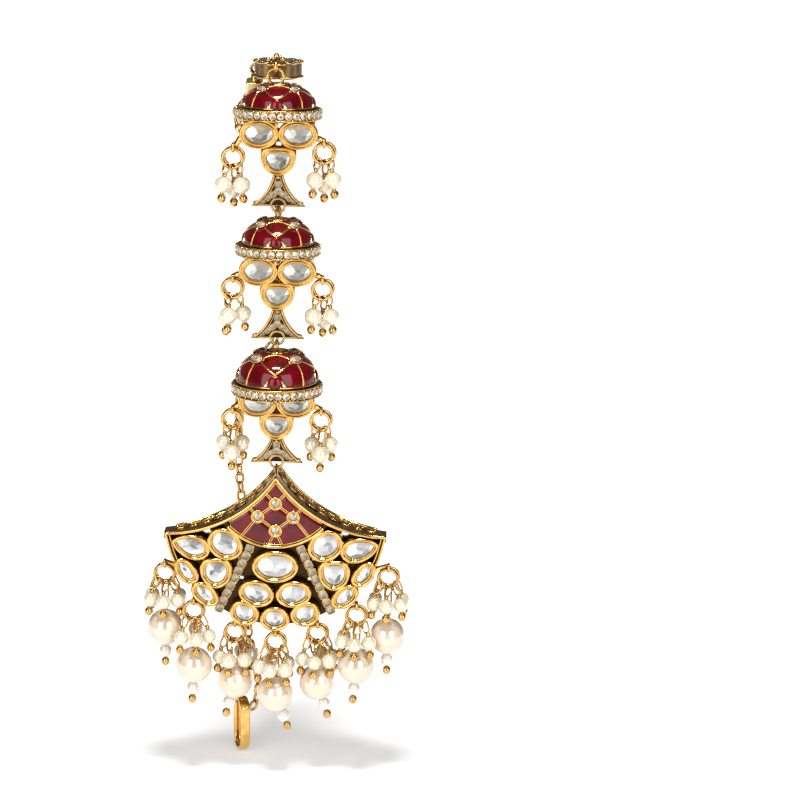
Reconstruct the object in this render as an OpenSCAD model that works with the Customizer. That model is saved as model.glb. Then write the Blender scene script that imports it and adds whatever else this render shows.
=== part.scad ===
// Long hanging earring: a flower stud, three enamelled dome tiers joined ring in ring,
// an openwork fan and seven pearl drops, with a support chain and hair hook behind.
// +Z is up and the front faces -Y. The origin is on the stud's underside, straight
// behind the line that the tiers hang on.
// All sizes are in millimetres.

/* [Stud] */
// Height of the stud's side wall
stud_h = 3.0; // [2.6:0.1:3.4]
// Radius of each flower petal
petal_r = 1.9; // [1.8:0.05:2]
// Distance from the flower's centre to each petal's centre
petal_ring = 2.55; // [2.4:0.05:2.6]
// Radius of the ear post
post_r = 0.4; // [0.35:0.05:0.45]
// Length of the ear post
post_len = 10.8; // [10:0.2:12]
// Radius of the post's thicker foot, which the nut grips
post_foot_r = 0.6; // [0.58:0.01:0.64]

/* [Tiers] */
// Distance from the stud's centre forward to the line that the tiers hang on
hang_out = 6.3; // [6.2:0.1:6.6]
// Radius of all loop wires and jump rings
wire_r = 0.25; // [0.22:0.01:0.27]
// Space between two linked wires
wire_gap = 0.07; // [0.05:0.01:0.1]
// Thickness of the enamel on a dome
enamel_t = 0.35; // [0.3:0.05:0.4]
// Thickness of a dome's metal
shell_t = 0.5; // [0.4:0.05:0.6]
// Depth of a stone's box setting, front to back
setting_depth = 2.6; // [2.2:0.1:3]
// Width of a setting's rounded rim
rim_w = 1.05; // [0.9:0.05:1.1]

/* [Fan] */
// Half of the fan's width at its corners
fan_half = 21; // [20.5:0.1:21.5]
// Depth of the fan's edge wall at its middle
wall_depth = 8; // [7.5:0.1:8.5]
// Depth of the fan's stone settings
fan_setting = 2.2; // [2:0.1:2.4]
// Thickness of the pierced plate that carries the settings
web_t = 0.8; // [0.7:0.1:1]

/* [Pearls] */
// Radius of a large drop pearl
large_r = 3.5; // [3.4:0.05:3.6]
// Radius of a seed pearl on a drop
seed_r = 1.45; // [1.4:0.01:1.5]
// Radius of a seed pearl in a side bunch
bunch_seed_r = 1.6; // [1.5:0.01:1.62]
// Radius of the small bead under a large pearl
under_r = 1.25; // [1.2:0.05:1.3]
// Radius of a gold ball at the end of a pin
ball_r = 0.82; // [0.75:0.01:0.85]
// Radius of a head pin's wire
pin_r = 0.2; // [0.18:0.01:0.22]

/* [Chain] */
// Width of the support chain
chain_d = 2.2; // [2:0.1:2.4]
// Height of the hair hook
hook_h = 10.9; // [10:0.1:11.5]

/* [Hidden] */

gold = "goldenrod";
ruby = "darkred";
pearl = "ivory";
crystal = "lightgray";

fit = 0.04;
wire_d = 2 * wire_r;
arm_r = wire_r - 0.04;
link_step = wire_d + wire_gap;

// Stud: five petals round a middle, with a petal gap at the front where the eye stands
petals = 5;
petal_turn = 360 / petals;
flange_w = 0.15;
flange_t = 0.35;
stone_sink = 1.0;
seat_rim = 0.5;
// The stud's middle is a little to the left of the line that the tiers hang on
stud_x = -0.6;
eye_r = 1.45;
eye_z = 2.8;
knot_r = 0.3;
knot_gap = 0.1;
post_foot = [-5, 1, 0.3];
post_lean = 17.5;
nut_w = 3;
nut_h = 4;
nut_from = 1.1;
post_foot_h = nut_from + nut_h + 0.3;

// Rings that link the stud, the tiers and the fan
top_ring_r = 0.9;
face_loop_r = 1.45;
edge_loop_r = 0.95;
fishtail_loop_r = 1.2;
fan_loop_r = 0.9;
top_ring_z = eye_z + link_step - top_ring_r;
first_loop_z = top_ring_z - top_ring_r + link_step - face_loop_r;
crown_r = 1.6;

// One row per tier: crown height, dome radius and height, band radius and height,
// height of the two upper stones, height of the lower stone, drop to the bottom loop
CROWN = 0;
DOME_R = 1;
DOME_H = 2;
BAND_R = 3;
BAND_H = 4;
UPPER = 5;
LOWER = 6;
DROP = 7;
tiers = [
    [-0.5, 6.4, 4.4, 7.6, 1.9, -9.6, -14.5, 8.2],
    [-25.1, 6.4, 4.7, 7.6, 1.9, -34.8, -39.4, 8.0],
    [-49.8, 7.4, 6.0, 8.3, 2.1, -59.7, -64.1, 7.1]
];

// Columns of a stone's row: place across and up, width, height, turn,
// how pointed its outer end is, how flat its top is
AT_X = 0;
AT_Z = 1;
WIDE = 2;
TALL = 3;
TURN = 4;
POINT = 5;
FLAT = 6;
upper_stone = [3.52, 0, 7.2, 5.5, 0, 0, 0];
lower_stone = [0, 0, 6.4, 5.2, 0, 0, 0.35];

// Fan: the right half's stones, mirrored to the left, then the three rows at the middle
side_stones = [
    [16.0, -87.6, 7.6, 5.6, 16, 0.45, 0],
    [9.5, -87.0, 7.1, 6.0, 32, 0, 0],
    [16.9, -92.5, 5.9, 4.0, 52, 0.2, 0.1],
    [11.2, -92.8, 6.2, 6.0, 0, 0, 0.3],
    [13.3, -97.0, 6.0, 4.1, 40, 0, 0]
];
centre_stone = [0, -91.3, 8.9, 6.4, 0, 0, 0];
lower_stones = [
    [3.55, -96.7, 6.9, 5.3, 8, 0, 0],
    [-3.55, -96.7, 6.9, 5.3, -12, 0, 0],
    [5.8, -100.7, 5.7, 4.9, 20, 0, 0.1],
    [-5.8, -100.7, 5.7, 4.9, -20, 0, 0.1],
    [0, -101.7, 5.7, 4.9, 0, 0, 0]
];
fan_front = -2.3;
fan_edge_r = 24.1;
fan_edge_at = [20.5, -60.6];
fan_bowl_r = 19.6;
fan_bowl_z = -84.4;
fan_wall_t = 0.6;
fan_side_low = -90.6;
kite_r = 12.75;
kite_z = -74.85;
kite_wire = 0.68;
kite_t = 0.5;
// Small gems of the enamel panel and the two slanting rows of small stones
panel_gems = [[0, -78.8], [-3.35, -81.4], [3.35, -81.4], [0, -84.1]];
panel_gem_r = 1.3;
row_from = [4.9, -87.9];
row_to = [10.6, -99.9];
row_w = 1.7;
web_holes = [[13.2, -84.9, 0.7], [6.6, -90.6, 0.55], [14.2, -90.4, 0.4], [6.5, -94.3, 0.4]];

// Drops: place of the jump ring across, up and back, length from ring to large pearl,
// lean of the large pearl, and where its seed pearls sit round it, from left to right
RING_X = 0;
RING_Z = 1;
BACK = 2;
LENGTH = 3;
LEAN = 4;
SEEDS = 5;
drops = [
    [-21.2, -93.9, 0.7, 10.9, 0, [-150, 150, -90, -30, 30]],
    [-15.5, -100.6, -1.3, 11.0, 3, [-137, 90, -77, -13]],
    [-7.8, -105.5, 0.7, 9.8, 14, [-168, -108, 72, -48, 12]],
    [0.1, -106.8, -0.9, 10.5, -20, [-168, 110, -108, -48, 40]],
    [8.1, -105.5, 0.7, 9.8, -17, [-160, -100, 80, -40, 20]],
    [15.6, -101.0, -1.3, 10.1, 4, [-156, 144, -96, -36]],
    [21.5, -93.9, 0.7, 11.8, 0, [-156, 144, -96, -36, 24]]
];
drop_ring_r = 1.8;
drop_foot_y = -0.7;
drop_eye_r = 0.7;
seed_out = 3.0;
seed_down = 4.9;
seed_tilt = 10;
bore_gap = 0.05;

// Side bunches of each tier: the ring, then three seed pearls, the one at the back lower
side_x = 8.3;
side_ring_r = 1.7;
side_eye_r = 0.65;
side_ring_below = 3.4;
bunch_out = 1.95;
bunch_down = 4.9;
bunch_low = 1.2;
bunch_tilt = 8;
// Which way each bunch is turned, left and right, by tier
bunch_turn = [[90, 90], [130, 90], [270, 270]];
// How much lower a side ring hangs, left and right, by tier
side_low = [[1.1, 0], [0, 0], [0, 0]];

// Support chain: points on its line from the stud down to the hook ring
chain_route = [
    [-4.9, 4.1, -0.3], [-5.2, 5, -2.6], [-6.9, 5.4, -4.6], [-8.3, 4.8, -6.8], [-8.1, 3.9, -9], [-6.9, 2.3, -11],
    [-4.2, 1.5, -12.6], [-1.6, 1.9, -14.6], [-0.7, 2.6, -18], [-0.6, 3.2, -22], [-0.6, 3.7, -27], [-0.5, 4.3, -37],
    [-0.6, 4.3, -48], [-2.5, 4.4, -52], [-6, 4.4, -56], [-7.9, 4.4, -61], [-8.1, 4.4, -68], [-7.7, 4.4, -78],
    [-6.4, 4.4, -92], [-5.8, 4.5, -106], [-6.7, 4.5, -118.9]
];
chain_steps = 4;
chain_sides = 8;
chain_eye = [-4.25, 2.95, 1.5];
chain_eye_r = 0.7;
chain_ring_r = 0.8;
hook_x = -7.2;
hook_y = 4.5;
hook_ring_r = 1.3;
hook_eye_r = 0.7;
hook_depth = 5;
hook_w = 1.9;
hook_t = 0.7;
hook_turn = 22;
hook_ring_z = -120.7;
hook_top = hook_ring_z - hook_ring_r + link_step - 2 * hook_eye_r;

$fn = 48;

// A power that keeps the sign of its base, for rounded outlines
function spow(v, p) = sign(v) * pow(abs(v), p);

// Rounded outline: an ellipse whose right end narrows by "point" and whose upper half
// is squared off by "flat", with its widest line moved up
function outline(w, h, point, flat, n = 24) = [
    for (i = [0:n - 1])
        let (
            t = 360 * i / n,
            k = sin(t) > 0 ? flat : -flat,
            power = 1 / (1 + max(k, 0))
        )
        [
            w / 2 * spow(cos(t), power),
            h / 2 * ((1 - k) * spow(sin(t), power) * pow(abs(sin(t / 2)), point) + flat)
        ]
];

// Smooth curve through the chain's points
function blend(a, b, c, d, t) =
    0.5 * (2 * b + (c - a) * t + (2 * a - 5 * b + 4 * c - d) * t * t + (3 * b - a - 3 * c + d) * t * t * t);

last = len(chain_route) - 1;
chain_line = [
    for (i = [0:last - 1])
        for (s = [0:chain_steps - 1])
            blend(
                chain_route[max(i - 1, 0)], chain_route[i], chain_route[i + 1],
                chain_route[min(i + 2, last)], s / chain_steps
            ),
    chain_route[last]
];

// Builds a drawing that stands upright, from y to y + depth
module upright(y, depth) {
    translate([0, y + depth, 0])
        rotate([90, 0, 0])
            linear_extrude(depth)
                children();
}

// Moves to the line that the tiers hang on
module hang() {
    translate([0, -hang_out, 0])
        children();
}

// A wire ring round the Z axis
module ring(r, w = wire_r) {
    rotate_extrude()
        translate([r, 0])
            circle(w, $fn = 24);
}

// A ring seen face-on from the front
module face_ring(r, w = wire_r) {
    rotate([90, 0, 0])
        ring(r, w);
}

// A ring seen edge-on from the front
module edge_ring(r, w = wire_r) {
    rotate([0, 90, 0])
        ring(r, w);
}

// A straight wire from a towards b that stops short of b
module strand(a, b, r = pin_r, short = 0) {
    d = b - a;
    length = norm(d);
    translate(a)
        rotate([0, acos(d[2] / length), atan2(d[1], d[0])])
            cylinder(r = r, h = length - short, $fn = 24);
}

module stone_shape(row, inset) {
    translate([row[AT_X], row[AT_Z]])
        rotate(row[TURN])
            polygon(outline(row[WIDE] - 2 * inset, row[TALL] - 2 * inset, row[POINT], row[FLAT]));
}

// Box settings with a sunk seat for each stone
module settings(rows, y, depth) {
    difference() {
        upright(y, depth)
            for (row = rows)
                stone_shape(row, 0);
        upright(y - 1, 1 + stone_sink)
            for (row = rows)
                stone_shape(row, rim_w);
    }
}

// Flat stones that fill the seats
module flat_stones(rows, y) {
    upright(y + 0.25, stone_sink - 0.25 - fit)
        for (row = rows)
            stone_shape(row, rim_w + fit);
}

function mirrored(rows) = [
    for (row = rows) [-row[AT_X], row[AT_Z], row[WIDE], row[TALL], 180 - row[TURN], row[POINT], -row[FLAT]]
];

module petal_places() {
    for (i = [0:petals - 1])
        rotate(90 + petal_turn * i)
            translate([petal_ring, 0, 0])
                children();
}

module flower_shape(r) {
    circle(petal_ring);
    petal_places()
        circle(r);
}

module along_post() {
    translate(post_foot)
        rotate([180 + post_lean, 0, 0])
            children();
}

module ear_stud() {
    color(gold) {
        translate([stud_x, 0, 0])
            difference() {
                union() {
                    linear_extrude(stud_h)
                        flower_shape(petal_r);
                    linear_extrude(flange_t)
                        flower_shape(petal_r + flange_w);
                    translate([0, 0, stud_h - flange_t])
                        linear_extrude(flange_t)
                            flower_shape(petal_r + flange_w);
                }
                petal_places()
                    translate([0, 0, stud_h - stone_sink])
                        cylinder(r = petal_r - seat_rim, h = stone_sink + 1);
            }
        hang()
            translate([stud_x, eye_r, eye_z])
                ring(eye_r);
        along_post() {
            cylinder(r = post_r, h = post_len);
            cylinder(r = post_foot_r, h = post_foot_h);
        }
        translate(chain_eye)
            ring(chain_eye_r);
    }
}

module stud_stones() {
    color(crystal)
        translate([stud_x, 0, stud_h - stone_sink + fit])
            petal_places()
                intersection() {
                    cylinder(r = petal_r - seat_rim - fit, h = 1.6);
                    translate([0, 0, -1.4])
                        sphere(r = 2.9);
                }
}

// Square clutch pushed up the post, with a tapered foot
module ear_nut() {
    color(gold)
        along_post()
            translate([0, 0, nut_from])
                difference() {
                    union() {
                        translate([-nut_w / 2, -nut_w / 2, 0])
                            cube([nut_w, nut_w, nut_h * 0.7]);
                        translate([0, 0, nut_h * 0.7])
                            cylinder(r1 = nut_w / 2, r2 = nut_w / 2 - 0.5, h = nut_h * 0.3);
                    }
                    translate([0, 0, -1])
                        cylinder(r = post_foot_r + bore_gap, h = nut_h + 2);
                }
}

module chain_ring() {
    color(gold)
        translate([chain_eye[0] - chain_eye_r, chain_eye[1], chain_eye[2] + link_step - chain_ring_r])
            face_ring(chain_ring_r);
}

// Tube of the chain's outer size, swept down the chain's line
module ear_chain() {
    count = len(chain_line);
    points = [
        for (p = chain_line)
            for (j = [0:chain_sides - 1])
                p + chain_d / 2 * [cos(360 * j / chain_sides), sin(360 * j / chain_sides), 0]
    ];
    sides = [
        for (i = [0:count - 2])
            for (j = [0:chain_sides - 1])
                let (k = (j + 1) % chain_sides)
                [
                    i * chain_sides + j, (i + 1) * chain_sides + j,
                    (i + 1) * chain_sides + k, i * chain_sides + k
                ]
    ];
    top = [for (j = [0:chain_sides - 1]) j];
    bottom = [for (j = [0:chain_sides - 1]) count * chain_sides - 1 - j];
    color(gold)
        polyhedron(points, concat(sides, [top, bottom]), convexity = 6);
}

module hook_ring() {
    color(gold)
        translate([hook_x, hook_y, hook_ring_z])
            face_ring(hook_ring_r);
}

// Flat-sectioned long link that slips over the hair
module hair_hook() {
    end_r = hook_depth / 2;
    color(gold)
        translate([hook_x, hook_y, 0]) {
            translate([0, 0, hook_top + hook_eye_r])
                edge_ring(hook_eye_r);
            rotate([0, 0, hook_turn])
                difference() {
                    hook_body(end_r, hook_w);
                    hook_body(end_r - hook_t, hook_w + 2);
                }
        }
}

// Rounded slab in the side plane, from the hook's foot to its top
module hook_body(r, w) {
    top = hook_top + 0.1 - hook_depth / 2;
    foot = hook_top - hook_h + hook_depth / 2;
    translate([-w / 2, 0, 0]) {
        for (z = [foot, top])
            translate([0, 0, z])
                rotate([0, 90, 0])
                    cylinder(r = r, h = w);
        translate([0, -r, foot])
            cube([w, 2 * r, top - foot]);
    }
}

module top_ring() {
    color(gold)
        hang()
            translate([stud_x, 0, top_ring_z])
                edge_ring(top_ring_r);
}

// Half profile of a dome, with its rim at height 0
function dome_profile(r, h, n = 16) = [
    for (i = [0:n - 1])
        let (t = 90 * i / n)
        [r * spow(cos(t), 0.87), h * spow(sin(t), 0.87)],
    [0, h]
];

// Solid dome
module dome(r, h) {
    rotate_extrude()
        polygon(concat([[0, 0]], dome_profile(r, h)));
}

function bottom_loop_z(k) = tiers[k][LOWER] - tiers[k][DROP];

function edge_loop_z(k) = bottom_loop_z(k - 1) - fishtail_loop_r + link_step - edge_loop_r;

// Metal of one tier: dome, rim band, three settings, side arms and fishtail with its loop
module tier_frame(k) {
    row = tiers[k];
    rim_z = row[CROWN] - row[DOME_H];
    metal_r = row[DOME_R] - enamel_t;
    stones = tier_rows(k);
    color(gold)
        hang() {
            translate([0, 0, rim_z])
                difference() {
                    dome(metal_r, row[DOME_H] - enamel_t);
                    translate([0, 0, -0.01])
                        dome(metal_r - shell_t, row[DOME_H] - enamel_t - shell_t);
                }
            translate([0, 0, row[CROWN] - 0.6])
                cylinder(r = crown_r, h = 0.65);
            translate([0, 0, rim_z - row[BAND_H]])
                rim_band(row[DOME_R] - 0.9, row[BAND_R], row[BAND_H]);
            if (k == 0)
                translate([stud_x, 0, first_loop_z])
                    face_ring(face_loop_r);
            else
                translate([0, 0, edge_loop_z(k)])
                    edge_ring(edge_loop_r);
            settings(stones, -setting_depth / 2, setting_depth);
            bridge(row[BAND_R] - 1, rim_z - row[BAND_H], row[UPPER]);
            fishtail(row[LOWER] - 2.35, bottom_loop_z(k));
            for (side = [-1, 1])
                side_arm(k, side);
        }
}

function tier_rows(k) = [
    [upper_stone[AT_X], tiers[k][UPPER], upper_stone[WIDE], upper_stone[TALL], 0, 0, 0],
    [-upper_stone[AT_X], tiers[k][UPPER], upper_stone[WIDE], upper_stone[TALL], 0, 0, 0],
    [0, tiers[k][LOWER], lower_stone[WIDE], lower_stone[TALL], 0, 0, lower_stone[FLAT]]
];

// Band with a groove for its row of small stones
module rim_band(inner, outer, h) {
    lip = 0.3;
    groove = 0.5;
    rotate_extrude()
        polygon([
            [inner, 0], [outer, 0], [outer, lip], [outer - groove, lip],
            [outer - groove, h - lip], [outer, h - lip], [outer, h], [inner, h]
        ]);
}

// Strip across the band's mouth that the settings hang from, and the plate between them
module bridge(half, band_foot, upper) {
    translate([-half, -0.25, band_foot - 0.9])
        cube([2 * half, 1.1, 1.4]);
    upright(-0.2, 1)
        difference() {
            translate([-3.2, upper - 4.2])
                square([6.4, 5.2]);
            translate([0, upper - 1.9])
                circle(0.5, $fn = 24);
        }
}

// Flared piece under the lower stone, sunk in front for its small stones
module fishtail(top, loop_z) {
    thick = 1.4;
    difference() {
        union() {
            upright(-thick / 2, thick)
                fishtail_shape(top, loop_z, 0);
            translate([0, 0, loop_z])
                face_ring(fishtail_loop_r);
        }
        upright(-thick / 2 - 1, 1.4)
            fishtail_shape(top, loop_z, 0.35);
    }
}

module fishtail_shape(top, loop_z, inset) {
    foot = loop_z - 0.1 + inset;
    difference() {
        translate([-4.9 + 2 * inset, foot])
            square([9.8 - 4 * inset, top - inset - foot]);
        for (side = [-1, 1])
            translate([side * 9.3, loop_z + 7.3])
                circle(8.6 + inset);
        translate([0, loop_z])
            circle(fishtail_loop_r - 0.05 + inset);
    }
}

// Wire arm with the eye that a side bunch's ring hangs in
module side_arm(k, side) {
    upper = tiers[k][UPPER];
    eye_mid = bunch_z(k, side) + side_ring_r - link_step + side_eye_r;
    translate([side * side_x, 0, eye_mid])
        edge_ring(side_eye_r);
    strand([side * side_x, 0, eye_mid + side_eye_r], [side * 6.3, 0, upper - 0.3], arm_r);
}

// Enamel skin from the crown plate down to the band
module tier_enamel(k) {
    row = tiers[k];
    color(ruby)
        hang()
            translate([0, 0, row[CROWN] - row[DOME_H] + fit])
                difference() {
                    dome(row[DOME_R], row[DOME_H]);
                    translate([0, 0, -0.01])
                        dome(row[DOME_R] - enamel_t + fit, row[DOME_H] - enamel_t + fit);
                    cylinder(r = crown_r + fit, h = row[DOME_H] + 1);
                }
}

module tier_stones(k) {
    color(crystal)
        hang()
            flat_stones(tier_rows(k), -setting_depth / 2);
}

// Places a child at a pearl that hangs out from a ring's foot and tilts outwards
module at_pearl(angle, out, down, tilt) {
    rotate(angle)
        translate([out, 0, -down])
            rotate([0, -tilt, 0])
                children();
}

// Place on a jump ring's foot where the wire number i of n hangs
function hung_at(i, n, r) =
    let (step = i - (n - 1) / 2, a = 20 * step + (step < 0 ? -15 : 15))
    [r * sin(a), 0, -r * cos(a)];

// Head pin through a pearl: a strand down from the ring, a bend, the straight pin
// and the ball that it ends in
module head_pin(angle, out, down, tilt, hung, r = seed_r) {
    over = r + 0.4;
    reach = out - over * sin(tilt);
    bend = [reach * cos(angle), reach * sin(angle), -down + over * cos(tilt)];
    strand(hung, bend, pin_r, knot_gap);
    translate(bend)
        sphere(knot_r, $fn = 24);
    at_pearl(angle, out, down, tilt) {
        translate([0, 0, -r - ball_r])
            cylinder(r = pin_r, h = r + ball_r + over - knot_gap, $fn = 24);
        translate([0, 0, -r - ball_r - fit])
            sphere(ball_r, $fn = 32);
    }
}

module drilled_pearl(r, bore) {
    difference() {
        sphere(r);
        cylinder(r = bore + bore_gap, h = 3 * r, center = true, $fn = 24);
    }
}

function bunch_z(k, side) = tiers[k][UPPER] - side_ring_below - side_low[k][side > 0 ? 1 : 0];

function bunch_fall(i) = i == 0 ? bunch_down + bunch_low : bunch_down;

module bunch_pins(k, side) {
    turn = bunch_turn[k][side > 0 ? 1 : 0];
    color(gold)
        hang()
            translate([side * side_x, 0, bunch_z(k, side)]) {
                face_ring(side_ring_r);
                for (i = [0:2])
                    let (a = turn + 120 * i, place = cos(a) < -0.1 ? 0 : cos(a) > 0.1 ? 2 : 1)
                    head_pin(a, bunch_out, bunch_fall(i), bunch_tilt, hung_at(place, 3, side_ring_r), bunch_seed_r);
            }
}

module bunch_pearls(k, side) {
    turn = bunch_turn[k][side > 0 ? 1 : 0];
    color(pearl)
        hang()
            translate([side * side_x, 0, bunch_z(k, side)])
                for (i = [0:2])
                    at_pearl(turn + 120 * i, bunch_out, bunch_fall(i), bunch_tilt)
                        drilled_pearl(bunch_seed_r, pin_r);
}

// Outline of the fan, drawn in by an inset
module fan_shape(inset) {
    difference() {
        union() {
            translate([0, fan_bowl_z])
                circle(fan_bowl_r - inset, $fn = 96);
            polygon([
                [-fan_half + inset, -84], [fan_half - inset, -84], [19.3 - inset, fan_side_low],
                [-19.3 + inset, fan_side_low]
            ]);
            translate([-fan_half + inset, -86])
                square([2 * (fan_half - inset), 14]);
        }
        for (side = [-1, 1])
            translate([side * fan_edge_at[0], fan_edge_at[1]])
                circle(fan_edge_r + inset, $fn = 128);
        translate([fan_edge_at[0], -84.7 - inset])
            square([3, 20]);
        translate([-fan_edge_at[0] - 3, -84.7 - inset])
            square([3, 20]);
    }
}

// Strip along the fan's two upper edges
module upper_strip() {
    difference() {
        fan_shape(0);
        fan_shape(fan_wall_t);
        translate([-30, -125])
            square([60, 38.8]);
    }
}

module kite_shape(inset) {
    intersection() {
        fan_shape(inset);
        translate([0, kite_z])
            circle(kite_r - inset, $fn = 96);
        translate([-fan_half, -90])
            square([2 * fan_half, 20]);
    }
}

// Floor of the enamel panel, clear of its gems and of the settings beside it
module kite_floor(inset) {
    difference() {
        kite_shape(inset);
        for (gem = panel_gems)
            translate(gem)
                circle(panel_gem_r + inset - kite_wire, $fn = 32);
        for (row = [side_stones[1], mirrored(side_stones)[1]])
            stone_shape(row, kite_wire - inset);
    }
}

module fan_rows() {
    for (side = [-1, 1])
        hull() {
            translate([side * row_from[0], row_from[1]])
                circle(row_w / 2, $fn = 16);
            translate([side * row_to[0], row_to[1]])
                circle(row_w / 2, $fn = 16);
        }
}

all_fan_rows = concat(side_stones, mirrored(side_stones), [centre_stone], lower_stones);

// Pierced slots along the fan's edge wall
module wall_slots() {
    for (side = [-1, 1])
        for (i = [0:4])
            let (a = 211 + 12 * i)
            translate([
                side * (fan_edge_at[0] + fan_edge_r * cos(a)), fan_front + 3.4 - 0.35 * i,
                fan_edge_at[1] + fan_edge_r * sin(a)
            ])
                rotate([0, side * (270 - a), 0])
                    translate([-1.3, -0.5, -2])
                        cube([2.6, 1.1, 4]);
}

module fan_frame() {
    plan_r = 47;
    color(gold)
        hang() {
            difference() {
                intersection() {
                    upright(fan_front, wall_depth + 1)
                        upper_strip();
                    translate([0, fan_front + wall_depth - plan_r, -110])
                        cylinder(r = plan_r, h = 50, $fn = 180);
                }
                wall_slots();
            }
            upright(fan_front, fan_setting)
                difference() {
                    fan_shape(0);
                    fan_shape(0.6);
                    translate([-19.3, -125])
                        square([38.6, 34.4]);
                }
            settings(all_fan_rows, fan_front, fan_setting);
            upright(fan_front + 0.9, fan_setting - 0.9)
                fan_rows();
            upright(fan_front + fan_setting - 0.1, web_t)
                difference() {
                    fan_shape(0.5);
                    for (side = [-1, 1])
                        for (hole = web_holes)
                            translate([side * hole[0], hole[1]])
                                circle(hole[2], $fn = 16);
                }
            difference() {
                upright(fan_front, fan_setting)
                    kite_shape(0);
                upright(fan_front - 1, 1 + kite_t + fit)
                    kite_floor(kite_wire);
            }
            translate([0, 0, fan_loop_z])
                edge_ring(fan_loop_r);
            for (drop = drops)
                drop_eye(drop);
        }
}

fan_loop_z = bottom_loop_z(2) - fishtail_loop_r + link_step - fan_loop_r;

// Eye and short post on the fan's lower edge for one drop
module drop_eye(drop) {
    eye_mid = drop[RING_Z] + drop_ring_r - link_step + drop_eye_r;
    top = [drop[RING_X], drop[BACK], eye_mid + drop_eye_r];
    inward = [drop[RING_X], 0, drop[RING_Z] - fan_bowl_z];
    foot = inward * (1 - 4.6 / norm(inward)) + [0, drop_foot_y, fan_bowl_z];
    translate([drop[RING_X], drop[BACK], eye_mid])
        edge_ring(drop_eye_r);
    strand(top, foot, arm_r);
}

module fan_enamel() {
    color(ruby)
        hang()
            upright(fan_front + 0.1, kite_t - 0.1)
                kite_floor(kite_wire + fit);
}

module fan_stones(rows) {
    color(crystal)
        hang()
            flat_stones(rows, fan_front);
}

// Moves to a drop's ring
module at_drop(drop) {
    hang()
        translate([drop[RING_X], drop[BACK], drop[RING_Z]])
            children();
}

module drop_pins(drop) {
    tail = large_r + 2 * under_r + ball_r;
    color(gold)
        at_drop(drop) {
            face_ring(drop_ring_r);
            for (i = [0:len(drop[SEEDS]) - 1])
                head_pin(
                    drop[SEEDS][i], seed_out, seed_down, seed_tilt,
                    hung_at(i, len(drop[SEEDS]), drop_ring_r)
                );
            translate([0, 0, -drop[LENGTH]]) {
                translate([0, 0, knot_gap])
                    cylinder(r = pin_r, h = drop[LENGTH] - drop_ring_r - knot_gap, $fn = 24);
                sphere(knot_r, $fn = 24);
                rotate([0, drop[LEAN], 0]) {
                    translate([0, 0, -tail])
                        cylinder(r = pin_r, h = tail - knot_gap, $fn = 24);
                    translate([0, 0, -tail - fit * 3])
                        sphere(ball_r, $fn = 32);
                }
            }
        }
}

// Large pearl, drilled down from its top and out along the leaning pin
module large_pearl(drop) {
    color(pearl)
        at_drop(drop)
            translate([0, 0, -drop[LENGTH]])
                difference() {
                    sphere(large_r);
                    translate([0, 0, knot_gap])
                        cylinder(r = pin_r + bore_gap, h = 2 * large_r, $fn = 24);
                    sphere(knot_r + bore_gap, $fn = 24);
                    rotate([0, drop[LEAN], 0])
                        translate([0, 0, -2 * large_r])
                            cylinder(r = pin_r + bore_gap, h = 2 * large_r - knot_gap, $fn = 24);
                }
}

module seed_pearls(drop) {
    color(pearl)
        at_drop(drop) {
            for (angle = drop[SEEDS])
                at_pearl(angle, seed_out, seed_down, seed_tilt)
                    drilled_pearl(seed_r, pin_r);
            translate([0, 0, -drop[LENGTH]])
                rotate([0, drop[LEAN], 0])
                    translate([0, 0, -large_r - under_r - fit])
                        drilled_pearl(under_r, pin_r);
        }
}

ear_stud();
stud_stones();
ear_nut();
chain_ring();
ear_chain();
hook_ring();
hair_hook();
top_ring();
tier_frame(0);  // tier_1_frame
tier_enamel(0);  // tier_1_enamel
tier_stones(0);  // tier_1_stones
bunch_pins(0, -1);  // tier_1_left_pins
bunch_pearls(0, -1);  // tier_1_left_pearls
bunch_pins(0, 1);  // tier_1_right_pins
bunch_pearls(0, 1);  // tier_1_right_pearls
tier_frame(1);  // tier_2_frame
tier_enamel(1);  // tier_2_enamel
tier_stones(1);  // tier_2_stones
bunch_pins(1, -1);  // tier_2_left_pins
bunch_pearls(1, -1);  // tier_2_left_pearls
bunch_pins(1, 1);  // tier_2_right_pins
bunch_pearls(1, 1);  // tier_2_right_pearls
tier_frame(2);  // tier_3_frame
tier_enamel(2);  // tier_3_enamel
tier_stones(2);  // tier_3_stones
bunch_pins(2, -1);  // tier_3_left_pins
bunch_pearls(2, -1);  // tier_3_left_pearls
bunch_pins(2, 1);  // tier_3_right_pins
bunch_pearls(2, 1);  // tier_3_right_pearls
fan_frame();
fan_enamel();
fan_stones([centre_stone]);  // fan_centre_stone
fan_stones(mirrored(side_stones));  // fan_left_stones
fan_stones(side_stones);  // fan_right_stones
fan_stones(lower_stones);  // fan_lower_stones
drop_pins(drops[0]);  // drop_1_pins
large_pearl(drops[0]);  // drop_1_large_pearl
seed_pearls(drops[0]);  // drop_1_seed_pearls
drop_pins(drops[1]);  // drop_2_pins
large_pearl(drops[1]);  // drop_2_large_pearl
seed_pearls(drops[1]);  // drop_2_seed_pearls
drop_pins(drops[2]);  // drop_3_pins
large_pearl(drops[2]);  // drop_3_large_pearl
seed_pearls(drops[2]);  // drop_3_seed_pearls
drop_pins(drops[3]);  // drop_4_pins
large_pearl(drops[3]);  // drop_4_large_pearl
seed_pearls(drops[3]);  // drop_4_seed_pearls
drop_pins(drops[4]);  // drop_5_pins
large_pearl(drops[4]);  // drop_5_large_pearl
seed_pearls(drops[4]);  // drop_5_seed_pearls
drop_pins(drops[5]);  // drop_6_pins
large_pearl(drops[5]);  // drop_6_large_pearl
seed_pearls(drops[5]);  // drop_6_seed_pearls
drop_pins(drops[6]);  // drop_7_pins
large_pearl(drops[6]);  // drop_7_large_pearl
seed_pearls(drops[6]);  // drop_7_seed_pearls
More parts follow.
